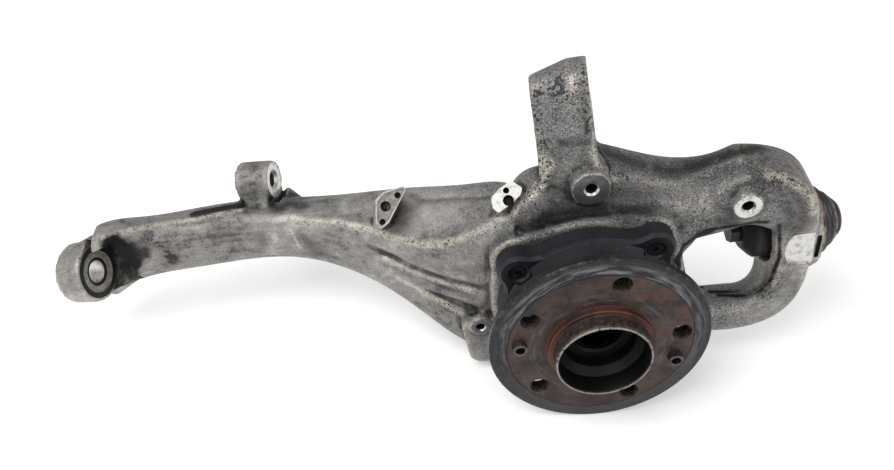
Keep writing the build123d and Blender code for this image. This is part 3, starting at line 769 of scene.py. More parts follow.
@dataclass(frozen=True)
class Pad:
    """A flat outline, square to a normal, from which screw pads and flats are milled.

    A layer is its lower and upper end above the plane, how far its outline is widened, the
    boolean operation and the finish. A hole is its place in the plane and its radius, and is
    drilled from below the plane to above it.
    """

    point: Vector
    normal: Vector
    corners: Outline
    fillet: float
    layers: Sequence[tuple[float, float, float, str, str]]
    holes: Sequence[tuple[float, float, float]] = ()
    drilled: Zone = (-5, 4)

    def at(self, x: float, y: float, level: float = 0.0) -> Vector:
        """A point in the pad's plane, or at a level above it."""
        across = Vector((self.normal.z, 0, -self.normal.x))
        across = across.normalized() if across.length > 1e-6 else Vector((1, 0, 0))
        return self.point + across * x + self.normal.cross(across) * y + self.normal * level

    def prism(self, low: float, high: float, grow: float, finish: Any) -> bpy.types.Object:
        """Extrudes the outline along the normal.

        Args:
            low: lower end above the pad's plane.
            high: upper end above the pad's plane.
            grow: how far the outline is widened.
            finish: material of its faces.

        Returns:
            The closed prism.
        """
        outline = rounded(self.corners, [self.fillet] * len(self.corners))
        middle = Vector([sum(values) for values in zip(*outline)]) / len(outline)
        outline = [c + (c - middle).normalized() * grow for c in map(Vector, outline)]
        work = bmesh.new()
        levels = (low, high)
        near, far = ([work.verts.new(self.at(*c, z) * MM) for c in outline] for z in levels)
        work.faces.new(near[::-1])
        work.faces.new(far)
        add_band(work, near, far)
        return finished(work, "pad", finish)

    def mill(self, piece: bpy.types.Object, finishes: Finishes) -> None:
        """Adds and cuts the layers, then drills the holes.

        Args:
            piece: the piece that carries the pad.
            finishes: the scene's materials.
        """
        for low, high, grow, operation, finish in self.layers:
            carve(piece, self.prism(low, high, grow, getattr(finishes, finish)), operation)
        spots = [(self.at(x, y), radius) for x, y, radius in self.holes]
        # Drilled holes take painted shade: black walls, so that they read as deep.
        cuts = [Cut(spot, self.normal, *self.drilled, r, r, "grime_and_shade") for spot, r in spots]
        machine(piece, cuts, finishes)


class RuleTree(Graph):
    """A Geometry Nodes tree with named inputs that lays out pieces that repeat."""

    kinds = {
        int: "NodeSocketInt",
        float: "NodeSocketFloat",
        bpy.types.Material: "NodeSocketMaterial",
    }

    def __init__(self, name: str, **inputs: Any) -> None:
        """Starts the tree.

        Args:
            name: name of the tree and of what it makes.
            inputs: value of each named input, lengths in metres.
        """
        super().__init__(bpy.data.node_groups.new(name, "GeometryNodeTree"))
        self.name = name
        self.values = inputs
        face = self.tree.interface
        face.new_socket(name="Geometry", in_out="OUTPUT", socket_type="NodeSocketGeometry")
        self.ids = {}
        for label, value in inputs.items():
            kind = self.kinds[type(value)]
            socket = face.new_socket(name=label, in_out="INPUT", socket_type=kind)
            self.ids[label] = socket.identifier
        self.given = self.add("NodeGroupInput", {}).node.outputs

    def ring_of(self, piece: Any) -> Any:
        """Copies a piece round the wheel axis, by the inputs Count, Radius and Phase.

        Args:
            piece: the geometry that is copied.

        Returns:
            The instances, each turned with its place.
        """
        index = self.add("GeometryNodeInputIndex", {})
        step = self.maths("DIVIDE", math.tau, self.given["Count"])
        angle = self.maths("ADD", self.product(index, step), self.given["Phase"])
        x = self.product(self.maths("COSINE", angle), self.given["Radius"])
        z = self.product(self.maths("SINE", angle), self.given["Radius"])
        spot = self.add("ShaderNodeCombineXYZ", {"X": x, "Z": z})
        points = {"Count": self.given["Count"], "Position": spot}
        turn = self.add("ShaderNodeCombineXYZ", {"Y": self.product(angle, -1.0)})
        links = {"Points": self.add("GeometryNodePoints", points), "Instance": piece}
        return self.add("GeometryNodeInstanceOnPoints", links | {"Rotation": turn})

    def grow(self, instances: Any) -> bpy.types.Object:
        """Realises the instances, gives them their material and applies the tree to a mesh.

        Args:
            instances: what the rule laid out.

        Returns:
            The object with plain faces.
        """
        real = self.add("GeometryNodeRealizeInstances", {"Geometry": instances})
        links = {"Geometry": real, "Material": self.given["Material"]}
        self.add("NodeGroupOutput", {"Geometry": self.add("GeometryNodeSetMaterial", links)})
        carrier = new_object(self.name, bpy.data.meshes.new(self.name))
        rule = carrier.modifiers.new(self.name, "NODES")
        rule.node_group = self.tree
        for label, value in self.values.items():
            rule[self.ids[label]] = value
        settle(carrier)
        return carrier


# ---- Wear, ridges and painted shade of the casting ----
def vertex_values(mesh: bpy.types.Mesh, what: str = "co") -> np.ndarray:
    """Vertex positions or normals as an array."""
    flat = np.empty(len(mesh.vertices) * 3)
    mesh.vertices.foreach_get(what, flat)
    return flat.reshape(-1, 3)


def store(mesh: bpy.types.Mesh, name: str, values: np.ndarray) -> None:
    """Keeps one number for each vertex as an attribute that a material can read."""
    layer = mesh.attributes.new(name, "FLOAT", "POINT")
    layer.data.foreach_set("value", values.astype(np.float32))


def mark_wear_and_shade(mesh: bpy.types.Mesh, rounds: int, scale_mm: float, calming: int = 3) -> None:
    """Stores how far each vertex stands proud of, or sits below, the skin around it; the material
    makes ridges pale and lays painted shade in hollows.

    Args:
        mesh: the finished casting's mesh.
        rounds: smoothing rounds, which set how wide the skin around it is.
        scale_mm: height that counts as fully proud or fully sunk.
        calming: smoothing rounds of the heights themselves.
    """
    places = vertex_values(mesh)
    edges = np.empty(len(mesh.edges) * 2, dtype=np.int64)
    mesh.edges.foreach_get("vertices", edges)
    count = np.maximum(np.bincount(edges, minlength=len(places)), 1).astype(float)
    ends = edges.reshape(-1, 2).T

    def evened(values: np.ndarray) -> np.ndarray:
        """Each value moved half way to the mean of its neighbours."""
        total = np.zeros_like(values)
        np.add.at(total, ends[0], values[ends[1]])
        np.add.at(total, ends[1], values[ends[0]])
        return 0.5 * values + 0.5 * total / count[:, None]

    even = places.copy()
    for _ in range(rounds):
        even = evened(even)
    proud = np.einsum("ij,ij->i", places - even, vertex_values(mesh, "normal"))[:, None]
    for _ in range(calming):
        proud = evened(proud)
    proud = proud[:, 0] / (scale_mm * MM)
    store(mesh, "proud", np.clip(proud, 0, 1))
    store(mesh, "sunk", np.clip(-proud, 0, 1))


@dataclass(frozen=True)
class Stroke:
    """A line over the casting along which its skin rises or changes its look."""

    path: tuple[tuple[float, float, float], ...]
    width: float
    rise: float = 0.0
    crest: float = 0.0
    shade: float = 0.0
    pits: float = 0.0
    grease_and_shade: float = 0.0
    rust: float = 0.0
    pale: float = 0.0

    def weight(self, spots: np.ndarray) -> np.ndarray:
        """How strongly the line acts on each spot.

        Args:
            spots: places in millimetres, one in each row.

        Returns:
            1 on the line, fading to 0 over its width.
        """
        nearest = np.full(len(spots), np.inf)
        knots = np.array(self.path, dtype=float)
        for a, b in zip(knots[:-1], knots[1:]):
            run = b - a
            share = np.clip((spots - a) @ run / (run @ run), 0, 1)
            gap = np.linalg.norm(spots - a - share[:, None] * run, axis=1)
            nearest = np.minimum(nearest, gap)
        return np.exp(-((nearest / self.width) ** 2))


MARKS = ("crest", "shade", "pits", "grease_and_shade", "rust", "pale")

# Ridges rubbed pale with painted highlight, creases, smooth bands of oxide and painted shade,
# pitted runs, rust, and grease with painted shade along the window's rims: from the neck over the
# body to the rails and ribs.
STROKES = (
    Stroke(((-374, 107, 31), (-363, 110, 31), (-353, 117, 30), (-336, 126, 26), (-313, 131, 26),
            (-296, 134, 26), (-283, 136, 27), (-271, 138, 28)), 3.5, rise=0.8, crest=0.9),
    Stroke(((-367, 104, 25), (-360, 106, 17), (-354, 108, 9), (-360, 106, 0), (-362, 105, -8)),
            11, grease_and_shade=1.0),
    Stroke(((-307, 138, 25), (-297, 141, 25), (-285, 144, 26), (-272, 146, 27)), 6, grease_and_shade=1.0),
    # Painted shadow behind and beneath the link boss.
    Stroke(((-246, 147, 34), (-240, 137, 28), (-232, 144, 28), (-222, 139, 29)), 8, shade=1.0),
    Stroke(((-240, 168, 27), (-225, 158, 22)), 14, shade=1.0),
    Stroke(((-378, 128, 12), (-368, 126, -2), (-360, 121, -12)), 13, grease_and_shade=1.0),
    Stroke(((-380, 118, 14), (-372, 112, 18)), 5, shade=0.9),
    Stroke(((-227, 127, 28), (-216, 123, 26), (-204, 120, 26)), 4.5, rise=1.4, crest=0.9),
    Stroke(((-330, 117, 3), (-327, 117, -1), (-327, 117, -5)), 4, pits=0.5, rust=1.9),
    Stroke(((-350, 112, 17), (-346, 112, 12), (-347, 112, 6)), 5, rust=1.3),
    Stroke(((-343, 114, 22), (-337, 115, 19), (-332, 116, 13), (-329, 116, 4)), 2.2, pits=1.0),
    Stroke(((-351, 109, -3), (-345, 111, -7), (-340, 113, -11)), 4, pits=0.8),
    Stroke(((-231, 122, 19), (-228, 121, 10), (-225, 121, 1)), 1.2, crest=1.0),
    Stroke(((-223, 121, 12), (-217, 120, 6), (-213, 119, -3)), 6, shade=0.6),
    Stroke(((-255, 124, 11), (-254, 124, 4)), 5, shade=0.5),
    Stroke(((-224, 121, 8), (-215, 119, 3), (-207, 117, -3)), 6, shade=0.5),
    Stroke(((-6, 62, 127), (-1, 63, 117), (10, 74, 100), (21, 73, 97), (32, 75, 96), (43, 73, 93),
            (52, 71, 92), (62, 71, 92), (75, 76, 93), (90, 83, 96), (102, 83, 101),
            (115, 83, 104), (129, 87, 103)), 4.0, rise=1.2, crest=0.35, pits=0.5),
    Stroke(((48, 85, 95), (58, 84, 93), (70, 88, 93), (83, 90, 94), (96, 92, 98), (110, 90, 104),
            (125, 95, 104)), 8, shade=1.0),
    Stroke(((10, 91, 108), (23, 88, 102), (37, 86, 98)), 7, shade=0.9),
    Stroke(((-30, 71, 131), (-21, 67, 133), (-12, 65, 135)), 4, rise=-1.0, shade=0.7),
    Stroke(((-34, 70, 121), (-33, 68, 108), (-35, 66, 96), (-46, 57, 87), (-55, 57, 72)),
            10, shade=0.55),
    Stroke(((-30, 70, 126), (-22, 65, 122), (-14, 63, 126), (-10, 61, 119)), 8, shade=0.4),
    Stroke(((-16, 89, 182), (-16, 76, 171), (-14, 72, 157), (-12, 68, 144)),
            3.5, pits=0.8, shade=0.4),
    Stroke(((-47, 87, 162), (-40, 86, 168), (-32, 84, 172), (-27, 78, 166), (-35, 82, 167)),
            5, pits=0.9),
    Stroke(((-47, 85, 156), (-44, 81, 142), (-41, 75, 125)), 5, pits=0.8),
    Stroke(((-24, 82, 176), (-22, 78, 171)), 4, crest=0.8),
    Stroke(((-40, 74, 120), (-42, 72, 109), (-43, 75, 94), (-52, 63, 88), (-62, 69, 72),
            (-70, 70, 67)), 4.5, rise=0.8, crest=0.75, pits=0.7),
    Stroke(((-54, 56, 68), (-40, 54, 76), (-33, 56, 87), (-20, 55, 86), (0, 54, 87), (21, 55, 86),
            (36, 54, 81)), 15, shade=1.0),
    Stroke(((97, 57, 90), (103, 59, 96), (112, 60, 100), (123, 61, 99)), 4, rise=-0.8, shade=0.9),
    Stroke(((58, 56, 83), (73, 56, 77), (78, 58, 87), (84, 56, 73)), 5, crest=0.5),
    Stroke(((124, 66, 102), (132, 65, 100), (138, 64, 98), (151, 62, 91), (160, 62, 81),
            (165, 62, 68)), 6, rise=1.0, crest=0.8),
    Stroke(((114, 60, 99), (123, 61, 100), (132, 62, 98), (140, 60, 94), (150, 59, 86),
            (156, 60, 74), (158, 60, 63), (156, 61, 52)), 9, shade=0.8, pits=0.5),
    Stroke(((141, 58, 78), (150, 60, 64), (147, 60, 56), (140, 60, 56)), 7, shade=0.7, pits=0.4),
    Stroke(((92, 56, 67), (97, 56, 65), (105, 56, 62)), 5, shade=0.9),
    # Thin black lines along the window's rims and the lower rail's groove: painted shade of their
    # inner walls.
    Stroke(((73, 56, 49), (77, 56, 53), (83, 56, 58), (95, 56, 60), (110, 57, 61), (122, 58, 62),
            (130, 59, 61)), 2.4, shade=1.0, grease_and_shade=0.75),
    Stroke(((140, 60, 57), (145, 62, 40), (149, 62, 22), (148, 63, 1), (145, 69, -19),
            (131, 72, -28), (113, 73, -27)), 2.2, shade=1.0, grease_and_shade=0.75),
    Stroke(((160, 79, 88), (163, 66, 83), (169, 64, 67), (178, 69, 45)), 3.0, crest=0.8),
    Stroke(((149, 62, 2), (148, 68, -12), (142, 73, -22), (131, 77, -27), (118, 77, -27),
            (107, 78, -27)), 1.8, rise=-0.8, shade=1.0, grease_and_shade=0.8),
    Stroke(((155, 62, -6), (154, 64, -16), (148, 65, -20), (139, 70, -26), (126, 74, -27)),
            5, shade=0.5, pits=0.5),
    Stroke(((161, 62, 0), (172, 62, -9), (172, 64, -22)), 5, shade=0.5),
    Stroke(((-76, 50, 32), (-77, 51, 45), (-72, 51, 54), (-62, 50, 58), (-46, 50, 61),
            (-28, 50, 69), (-14, 50, 73), (0, 50, 74), (20, 50, 70), (35, 50, 72), (46, 50, 72),
            (54, 50, 64), (59, 50, 46), (65, 50, 28)), 2.6, rise=0.4, crest=0.55),
    Stroke(((-68, 55, 58), (-55, 56, 62), (-45, 54, 72), (-33, 54, 76)), 7, shade=0.9),
    Stroke(((15, 52, 76), (28, 52, 77), (44, 51, 77)), 7, shade=0.8),
    # Thin black lines down the window's left rim: painted shade of its inner wall.
    Stroke(((66, 50, 22), (64, 50, 37), (68, 54, 46), (77, 57, 51), (87, 56, 57)),
            2.8, shade=1.0, grease_and_shade=0.9),
    Stroke(((71, 50, 21), (102, 85, -28)), 2.8, shade=0.9, grease_and_shade=0.8),
    Stroke(((-221, 124, 26), (-206, 121, 27), (-190, 117, 28), (-174, 110, 28), (-158, 102, 28),
            (-145, 95, 28), (-127, 84, 30), (-111, 76, 37), (-93, 70, 49), (-73, 68, 65),
            (-59, 63, 78), (-48, 63, 91), (-39, 69, 100)), 4.0, rise=1.6, crest=0.85, pits=0.5),
    Stroke(((-168, 104, 8), (-154, 101, 8), (-139, 90, 11), (-124, 82, 10), (-105, 72, 12),
            (-87, 63, 19), (-75, 50, 32)), 5, rise=-0.8, shade=0.35),
    Stroke(((-156, 100, 3), (-140, 95, -2), (-120, 86, -6), (-105, 77, -6), (-88, 66, -3)),
            3.6, rise=1.2, crest=0.8, pits=0.3),
    Stroke(((-148, 95, -2), (-133, 87, -9), (-119, 80, -12), (-102, 72, -11), (-88, 64, -8)),
            4, rise=-0.6, shade=0.4),
    Stroke(((-142, 92, -14), (-127, 84, -20), (-111, 75, -25), (-97, 68, -29)),
            3.5, rise=1.0, crest=0.7),
    Stroke(((-111, 75, -27), (-95, 69, -25), (-80, 59, -20), (-75, 51, -3)), 7, shade=0.5),
    Stroke(((-184, 110, -2), (-176, 108, -11), (-171, 106, -19)), 5, rise=-0.4),
    Stroke(((-136, 125, 48), (-125, 115, 49), (-106, 108, 56), (-87, 99, 63), (-75, 93, 68)),
            2.2, rise=-0.7, shade=0.5),
    Stroke(((-132, 108, 42), (-113, 94, 46), (-101, 91, 52)), 10, pale=0.7),
    Stroke(((-35, 70, 115), (-39, 69, 102), (-44, 66, 93)), 4, crest=0.8, pits=0.5),
    Stroke(((-7, 62, 127), (-2, 61, 117), (4, 58, 112), (12, 69, 98)), 4, crest=0.7, pits=0.5),
)


def raise_strokes(mesh: bpy.types.Mesh) -> None:
    """Moves the skin along its normals where a stroke rises or sinks.

    Args:
        mesh: the casting's mesh before it is cut.
    """
    spots = vertex_values(mesh) / MM
    lift = np.zeros(len(spots))
    for stroke in STROKES:
        if stroke.rise:
            lift += stroke.rise * stroke.weight(spots)
    moved = (spots + vertex_values(mesh, "normal") * lift[:, None]) * MM
    mesh.vertices.foreach_set("co", moved.ravel())
    mesh.update()


def paint_strokes(mesh: bpy.types.Mesh) -> None:
    """Stores each mark's strength on the vertices.

    Args:
        mesh: the casting's mesh after the last cut.
    """
    spots = vertex_values(mesh) / MM
    strengths = {mark: np.zeros(len(spots)) for mark in MARKS}
    for stroke in STROKES:
        weight = stroke.weight(spots)
        for mark, known in strengths.items():
            np.maximum(known, getattr(stroke, mark) * weight, out=known)
    for mark, values in strengths.items():
        store(mesh, mark, values)


# ---- Sub-assemblies ----
@dataclass
class CastKnuckle:
    """The aluminium casting: rounded cast skin with machined faces and bores cut into it."""

    voxel_mm: float = 1.72
    rounds: int = 7
    wear_and_shade_rounds: int = 24
    wear_and_shade_mm: float = 0.9
    crease: float = 40.0
    eye: Vector = Vector((-386, 112, -9))
    eye_axis: Vector = Vector((0.91, -0.30, 0.28)).normalized()
    scoop: Vector = eye + Vector((-0.265, 0.087, 0.96)) * 12
    flat: Vector = Vector((0, 65.6, 0))
    bores: Sequence[Bore] = (
        # Upper eye: clearance in front, then grimed ring, worn seat and tapered bore.
        Bore(eye, eye_axis, ((-0.3, 30, 24, 21, "cast"),)),
        Bore(scoop, eye_axis, ((-0.3, 30, 17, 17, "cast"),)),
        Bore(
            eye,
            eye_axis,
            (
                (-0.5, 1, 21.5, 21.5, "grime_and_shade"),
                (-1.5, 1, 17, 17, "stained"),
                (-2.2, 1, 11.5, 11.5, "grime_and_shade"),
                (-26, 1, 11.1, 8.6),
            ),
            (-22.9, -0.1, 17.6, 17.6),
        ),
        # Link boss: faces, bore and countersink.
        Bore(
            Vector((-243.5, 161, 40)),
            Vector((0.95, -0.22, 0.2)).normalized(),
            (
                (-0.5, 4, 19, 19, "cast"),
                (-0.8, 1, 14.2, 14.2),
                (-34, 5, 6, 6, "dulled"),
                (-3.3, 0.7, 6, 10),
            ),
            (-28.9, -0.1, 9.6, 9.6),
        ),
        # Steering arm: both faces and the tapered bore.
        Bore(
            Vector((-28.3, 97, 159)),
            Vector((1.0, -0.12, 0.2)).normalized(),
            ((20.5, 30, 24, 24), (-30, -20.5, 24, 24), (-23, 23, 7.3, 11.2)),
            (-20.9, 20.9, 11.5, 11.5),
        ),
        # Caliper bosses and brake-shield lug: face, tapped hole painted black as its shade, and
        # countersink.
        Bore(
            Vector((-8, 51, 104)),
            WHEEL_AXIS,
            (
                (-6, 0.5, 13.6, 13.6, "dulled"),
                (-6, 20, 4.25, 4.25, "grime_and_shade"),
                (-0.4, 1.9, 6.6, 4.2),
            ),
            (0.1, 21, 6, 6),
        ),
        Bore(
            Vector((109.5, 52, 82)),
            WHEEL_AXIS,
            ((-6, 0.5, 11.6, 11.6), (-6, 20, 4.25, 4.25, "grime_and_shade"), (-0.4, 1.9, 6.4, 4.2)),
            (0.1, 21, 6, 6),
        ),
        Bore(
            Vector((-83, 50, -29)),
            WHEEL_AXIS,
            ((-6, 0.5, 8.5, 8.5, "dulled"), (-6, 18, 3.4, 3.4, "grime_and_shade"), (-0.4, 1.6, 5.2, 3.4)),
            (0.1, 19, 5, 5),
        ),
        # Ball joint: bore and face.
        Bore(JOINT_CENTRE, JOINT_AXIS, ((-30, 34, 24.05, 24.05), (13, 22, 39, 39))),
    )
    # Gussets: their ends and the radius at each.
    webs: Sequence[tuple[Vector, Vector, float, float]] = (
        (Vector((-380, 122, 12)), Vector((-404, 118, 2)), 10, 9),
        (Vector((-239, 168, 19)), Vector((-225, 158, 14)), 8, 7),
        (Vector((-384, 124, -38)), Vector((-356, 122, -12)), 8, 10),
    )
    pads: Sequence[Pad] = (
        # Screw pad on the neck: proud rim round a stained floor.
        Pad(
            Vector((-151.8, 95.2, 58.4)),
            Vector((0.1, -0.74, 0.66)).normalized(),
            ((14, 19.6), (1.3, -10.6), (-4.9, -16.8), (-8.8, -11.6), (-10.2, 5.6), (-4.5, 12.6)),
            3.0,
            ((-5, 0.7, 0, "UNION", "machined"), (-0.9, 3, -1.8, "DIFFERENCE", "stained")),
            ((6.3, 10.8, 2.4), (-3.6, -10.4, 2.4), (-2.1, 1.6, 4.0)),
        ),
        # Screw pad on the shoulder, in a milled clearance.
        Pad(
            Vector((-65.2, 65, 88.8)),
            Vector((-0.15, -0.72, 0.68)).normalized(),
            (
                (-5.3, 7.4), (4.8, 11.8), (11.5, 5), (9.5, 0.4),
                (3.2, -4.1), (-8.7, -9.5), (-12.2, -5.3), (-12, 2.3),
            ),
            2.2,
            ((0.6, 9, 1.0, "DIFFERENCE", "cast"), (-5, 0.8, 0, "UNION", "machined")),
            ((-0.2, 5.4, 2.3), (0, -2, 4.0)),
            (-7, 4),
        ),
        # Flat beside the ball joint, and the slot at its edge, painted black as its shade.
        Pad(
            flat,
            -WHEEL_AXIS,
            (
                (152.5, 33.7), (156.7, 41.2), (169.2, 44.4), (174.1, 44.3),
                (176.6, 23.6), (178.7, 11.4), (158.2, 13.1), (153.1, 23.6),
            ),
            2.5,
            ((0, 20, 0, "DIFFERENCE", "machined"),),
        ),
        Pad(
            flat,
            -WHEEL_AXIS,
            ((176, 40), (180, 40), (181.5, 18), (178, 18)),
            1.5,
            ((-3, 20, 0, "DIFFERENCE", "grime_and_shade"),),
        ),
    )

    def plugs(self) -> list[Cut]:
        """Solids that fill the rough holes, and the gussets."""
        plugs = [Cut(bore.point, bore.axis, *bore.plug) for bore in self.bores if bore.plug]
        for a, b, near, far in self.webs:
            plugs.append(Cut(a, (b - a).normalized(), 0, (b - a).length, near, far))
        return plugs

    def build(self, frame: dict[str, Any], finishes: Finishes) -> bpy.types.Object:
        """Builds and dresses the casting.

        Args:
            finishes: the scene's materials.

        Returns:
            The finished casting, riding on the knuckle.
        """
        casting = merged_copy(frame["nodes"]["knuckle_casting"], "cast_knuckle")
        join_into(casting, [plug.shape() for plug in self.plugs()])
        even_out(casting, self.voxel_mm, self.rounds)
        raise_strokes(casting.data)
        # Every finish is on the piece before the first cut, so cut faces keep their own.
        for finish in ("cast", "machined", "dulled", "grime_and_shade", "stained"):
            casting.data.materials.append(getattr(finishes, finish))
        machine(casting, [cut for bore in self.bores for cut in bore.cuts()], finishes)
        for pad in self.pads:
            pad.mill(casting, finishes)
        paint_strokes(casting.data)
        mark_wear_and_shade(casting.data, self.wear_and_shade_rounds, self.wear_and_shade_mm)
        smooth_shading(casting, self.crease)
        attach(casting, Body.KNUCKLE.value)
        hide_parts("knuckle_casting")
        return casting


@dataclass
class TurnedHub:
    """The hub: a turned forging with tapped wheel-bolt holes and a splined bore."""

    sides: int = 288
    bolts: int = 5
    pcd: float = 120.0
    phase: float = 81.2
    tap_r: float = 6.25
    tap_tools: Sequence[Zone] = ((-1, 20, 6.25, 6.25), (-0.3, 1.2, 7.75, 6.25))
    thread_pitch: float = 1.5
    thread_turns: float = 6.0
    thread_ridge_r: float = 0.42
    thread_depth: float = 1.6
    thread_steps: int = 28
    thread_sides: int = 5
    sleeve_angle: float = 97.0
    sleeve_tools: Sequence[Zone] = ((-1, 20, 5.55, 5.55),)
    teeth: int = 30
    spline_r: float = 17.0
    spline_length: float = 60.0
    spline_middle: float = 45.0
    tooth: float = 1.6
    tooth_width: float = 1.7
    overlap: float = 0.1
    crease: float = 32.0
    detail_crease: float = 40.0
    # Groove in which the outboard balls run.
    ball_y: float = 32.0
    ball_ring_r: float = 37.5
    race_r: float = 7.35
    race_steps: int = 13
    # Radius, distance along the axis and edge break, from the spigot's mouth to the neck.
    skin: Sequence[tuple[float, float, float]] = (
        (34.05, -17.7, 0.3), (35.15, -17.7, 0.6), (36.25, -15.4, 1.5), (36.25, -5.5, 0.6),
        (38.7, -5.5, 0.0), (39.5, -4.7, 0.8), (39.5, 0.0, 0.5), (69.5, 0.0, 0.6),
        (81.7, 1.8, 0.6), (82.5, 2.6, 0.7), (82.5, 7.8, 0.8), (54.05, 11.5, 2.0),
        (50.05, 13.5, 2.0), (38.05, 14.5, 3.0), (35.05, 19.5, 3.0), (32.05, 27.35, 0.0),
    )
    # Radius and distance along the axis, from the ball groove back through the splined bore.
    inside: Outline = (
        (32.05, 40), (27.05, 40), (27.05, 76), (20, 80), (19.6, 80), (18.6, 78.5),
        (18.6, 12.9), (20.5, 11), (26.05, 11), (27.05, 3), (32.05, -3), (32.05, -9),
    )

    def profile(self) -> list[tuple[float, float]]:
        """The closed outline, radius by distance along the axis, with its edges broken."""
        outline = rounded([s[:2] for s in self.skin], [s[2] for s in self.skin], closed=False)
        edge = math.acos((self.ball_ring_r - self.inside[0][0]) / self.race_r)
        for angle in np.linspace(-edge, edge, self.race_steps):
            radius = self.ball_ring_r - self.race_r * math.cos(angle)
            outline.append((radius, self.ball_y + self.race_r * math.sin(angle)))
        return outline + list(self.inside)

    def turned(self, material: bpy.types.Material) -> bpy.types.Object:
        """Turns the profile about the wheel axis.

        Args:
            material: material of the turned skin.

        Returns:
            The closed hub.
        """
        work = bmesh.new()
        profile, rings = self.profile(), []
        for angle in (math.tau * k / self.sides for k in range(self.sides)):
            c, s = math.cos(angle) * MM, math.sin(angle) * MM
            rings.append([work.verts.new((r * c, y * MM, r * s)) for r, y in profile])
        for near, far in zip(rings, rings[1:] + rings[:1]):
            add_band(work, near, far)
        return finished(work, "turned_hub", material)

    def spline(self, finishes: Finishes) -> bpy.types.Object:
        """Lays out the teeth of the splined bore, one bar copied round the axis by a rule.

        Args:
            finishes: the scene's materials.

        Returns:
            The teeth.
        """
        rule = RuleTree(
            "spline_teeth",
            Count=self.teeth,
            Radius=(self.spline_r + self.tooth / 2 + self.overlap) * MM,
            Phase=0.0,
            Width=self.tooth_width * MM,
            Length=self.spline_length * MM,
            Middle=self.spline_middle * MM,
            Material=finishes.hub,
        )
        height = (self.tooth + 2 * self.overlap) * MM
        sides = {"X": height, "Y": rule.given["Length"], "Z": rule.given["Width"]}
        bar = rule.add("GeometryNodeMeshCube", {"Size": rule.add("ShaderNodeCombineXYZ", sides)})
        shift = rule.add("ShaderNodeCombineXYZ", {"Y": rule.given["Middle"]})
        moved = rule.add("GeometryNodeTransform", {"Geometry": bar, "Translation": shift})
        return rule.grow(rule.ring_of(moved))

    def threads(self, finishes: Finishes) -> bpy.types.Object:
        """Lays out thread ridges in the wheel-bolt holes, one helix copied round their circle.

        Args:
            finishes: the scene's materials.

        Returns:
            The ridges.
        """
        rule = RuleTree(
            "wheel_bolt_threads",
            Count=self.bolts,
            Radius=self.pcd / 2 * MM,
            Phase=math.radians(self.phase),
            Turns=self.thread_turns,
            Pitch=self.thread_pitch * MM,
            Material=finishes.tapped,
        )
        radius = (self.tap_r - self.overlap) * MM
        height = rule.product(rule.given["Turns"], rule.given["Pitch"])
        coil = {"Resolution": self.thread_steps, "Rotations": rule.given["Turns"]}
        coil |= {"Height": height, "Start Radius": radius, "End Radius": radius}
        ridge = {"Resolution": self.thread_sides, "Radius": self.thread_ridge_r * MM}
        tube = {
            "Curve": rule.add("GeometryNodeCurveSpiral", coil),
            "Profile Curve": rule.add("GeometryNodeCurvePrimitiveCircle", ridge),
            "Fill Caps": True,
        }
        laid = {
            "Geometry": rule.add("GeometryNodeCurveToMesh", tube),
            "Rotation": (-math.pi / 2, 0, 0),
            "Translation": (0, self.thread_depth * MM, 0),
        }
        return rule.grow(rule.ring_of(rule.add("GeometryNodeTransform", laid)))

    def holes(self) -> list[Cut]:
        """Tools of the tapped holes, then of the two sleeve holes."""
        plan = [(self.phase - 360 * k / self.bolts, self.tap_tools) for k in range(self.bolts)]
        plan += [(self.phase + side * self.sleeve_angle, self.sleeve_tools) for side in (-1, 1)]
        cuts = []
        for angle, tools in ((math.radians(degrees), tools) for degrees, tools in plan):
            spot = Vector((math.cos(angle), 0, math.sin(angle))) * (self.pcd / 2)
            cuts += [Cut(spot, WHEEL_AXIS, *tool, "tapped") for tool in tools]
        return cuts

    def build(self, finishes: Finishes) -> bpy.types.Object:
        """Builds the hub.

        Args:
            finishes: the scene's materials.

        Returns:
            The finished hub, riding on the hub body.
        """
        hub = self.turned(finishes.hub)
        hub.data.materials.append(finishes.tapped)
        machine(hub, self.holes(), finishes)
        smooth_shading(hub, self.crease)
        for extra in (self.spline(finishes), self.threads(finishes)):
            LOG.info("%s: %d faces", extra.name, len(extra.data.polygons))
            smooth_shading(extra, self.detail_crease)
            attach(extra, Body.HUB.value)
        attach(hub, Body.HUB.value)
        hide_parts("wheel_hub")
        return hub


@dataclass
class JointBoot:
    """The rubber boot; its two distances along the joint's axis are not used."""

    fixed: float = 19.5
    moving: float = 28.5
    crease: float = 50.0

    def build(self, frame: dict[str, Any], finishes: Finishes) -> bpy.types.Object:
        """Builds the boot.

        Args:
            finishes: the scene's materials.

        Returns:
            The boot.
        """
        boot = merged_copy(frame["nodes"]["joint_boot"], "rubber_boot")
        boot.data.materials.append(finishes.rubber)
        smooth_shading(boot, self.crease)
        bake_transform(boot)
        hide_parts("joint_boot")
        return boot


class DressedNodes:
    """CAD nodes that keep their own shape and only take a finish."""

    # Each slot's finish and its nodes.
    plan = {
        "blackened_steel": (
            "black_steel", ("bearing_outer_ring", "ball_joint_housing", "ball_joint_closer")
        ),
        "bearing_steel": ("bearing", ("bearing_inner_ring", "outboard_balls", "inboard_balls")),
        "cage_plastic": ("cage", ("outboard_cage", "inboard_cage")),
        "seal_rubber": ("seal", ("front_seal", "rear_seal", "encoder_ring")),
        "bolt_steel": ("bolt", ("bearing_bolts", "ball_stud")),
        "sleeve_steel": ("sleeve", ("disc_sleeves",)),
        "liner_plastic": ("liner", ("ball_joint_liner",)),
        "clamp_steel": ("clamp", ("boot_clamp_large", "boot_clamp_small")),
    }

    def dress(self, frame: dict[str, Any], finishes: Finishes) -> None:
        """Gives each node its material and logs the slot that it belongs to.

        Args:
            finishes: the scene's materials.
        """
        for slot, (finish, names) in self.plan.items():
            for name in names:
                node = frame["nodes"][name]
                node.data.materials.clear()
                node.data.materials.append(getattr(finishes, finish))
                LOG.info("%s: %s", name, slot)


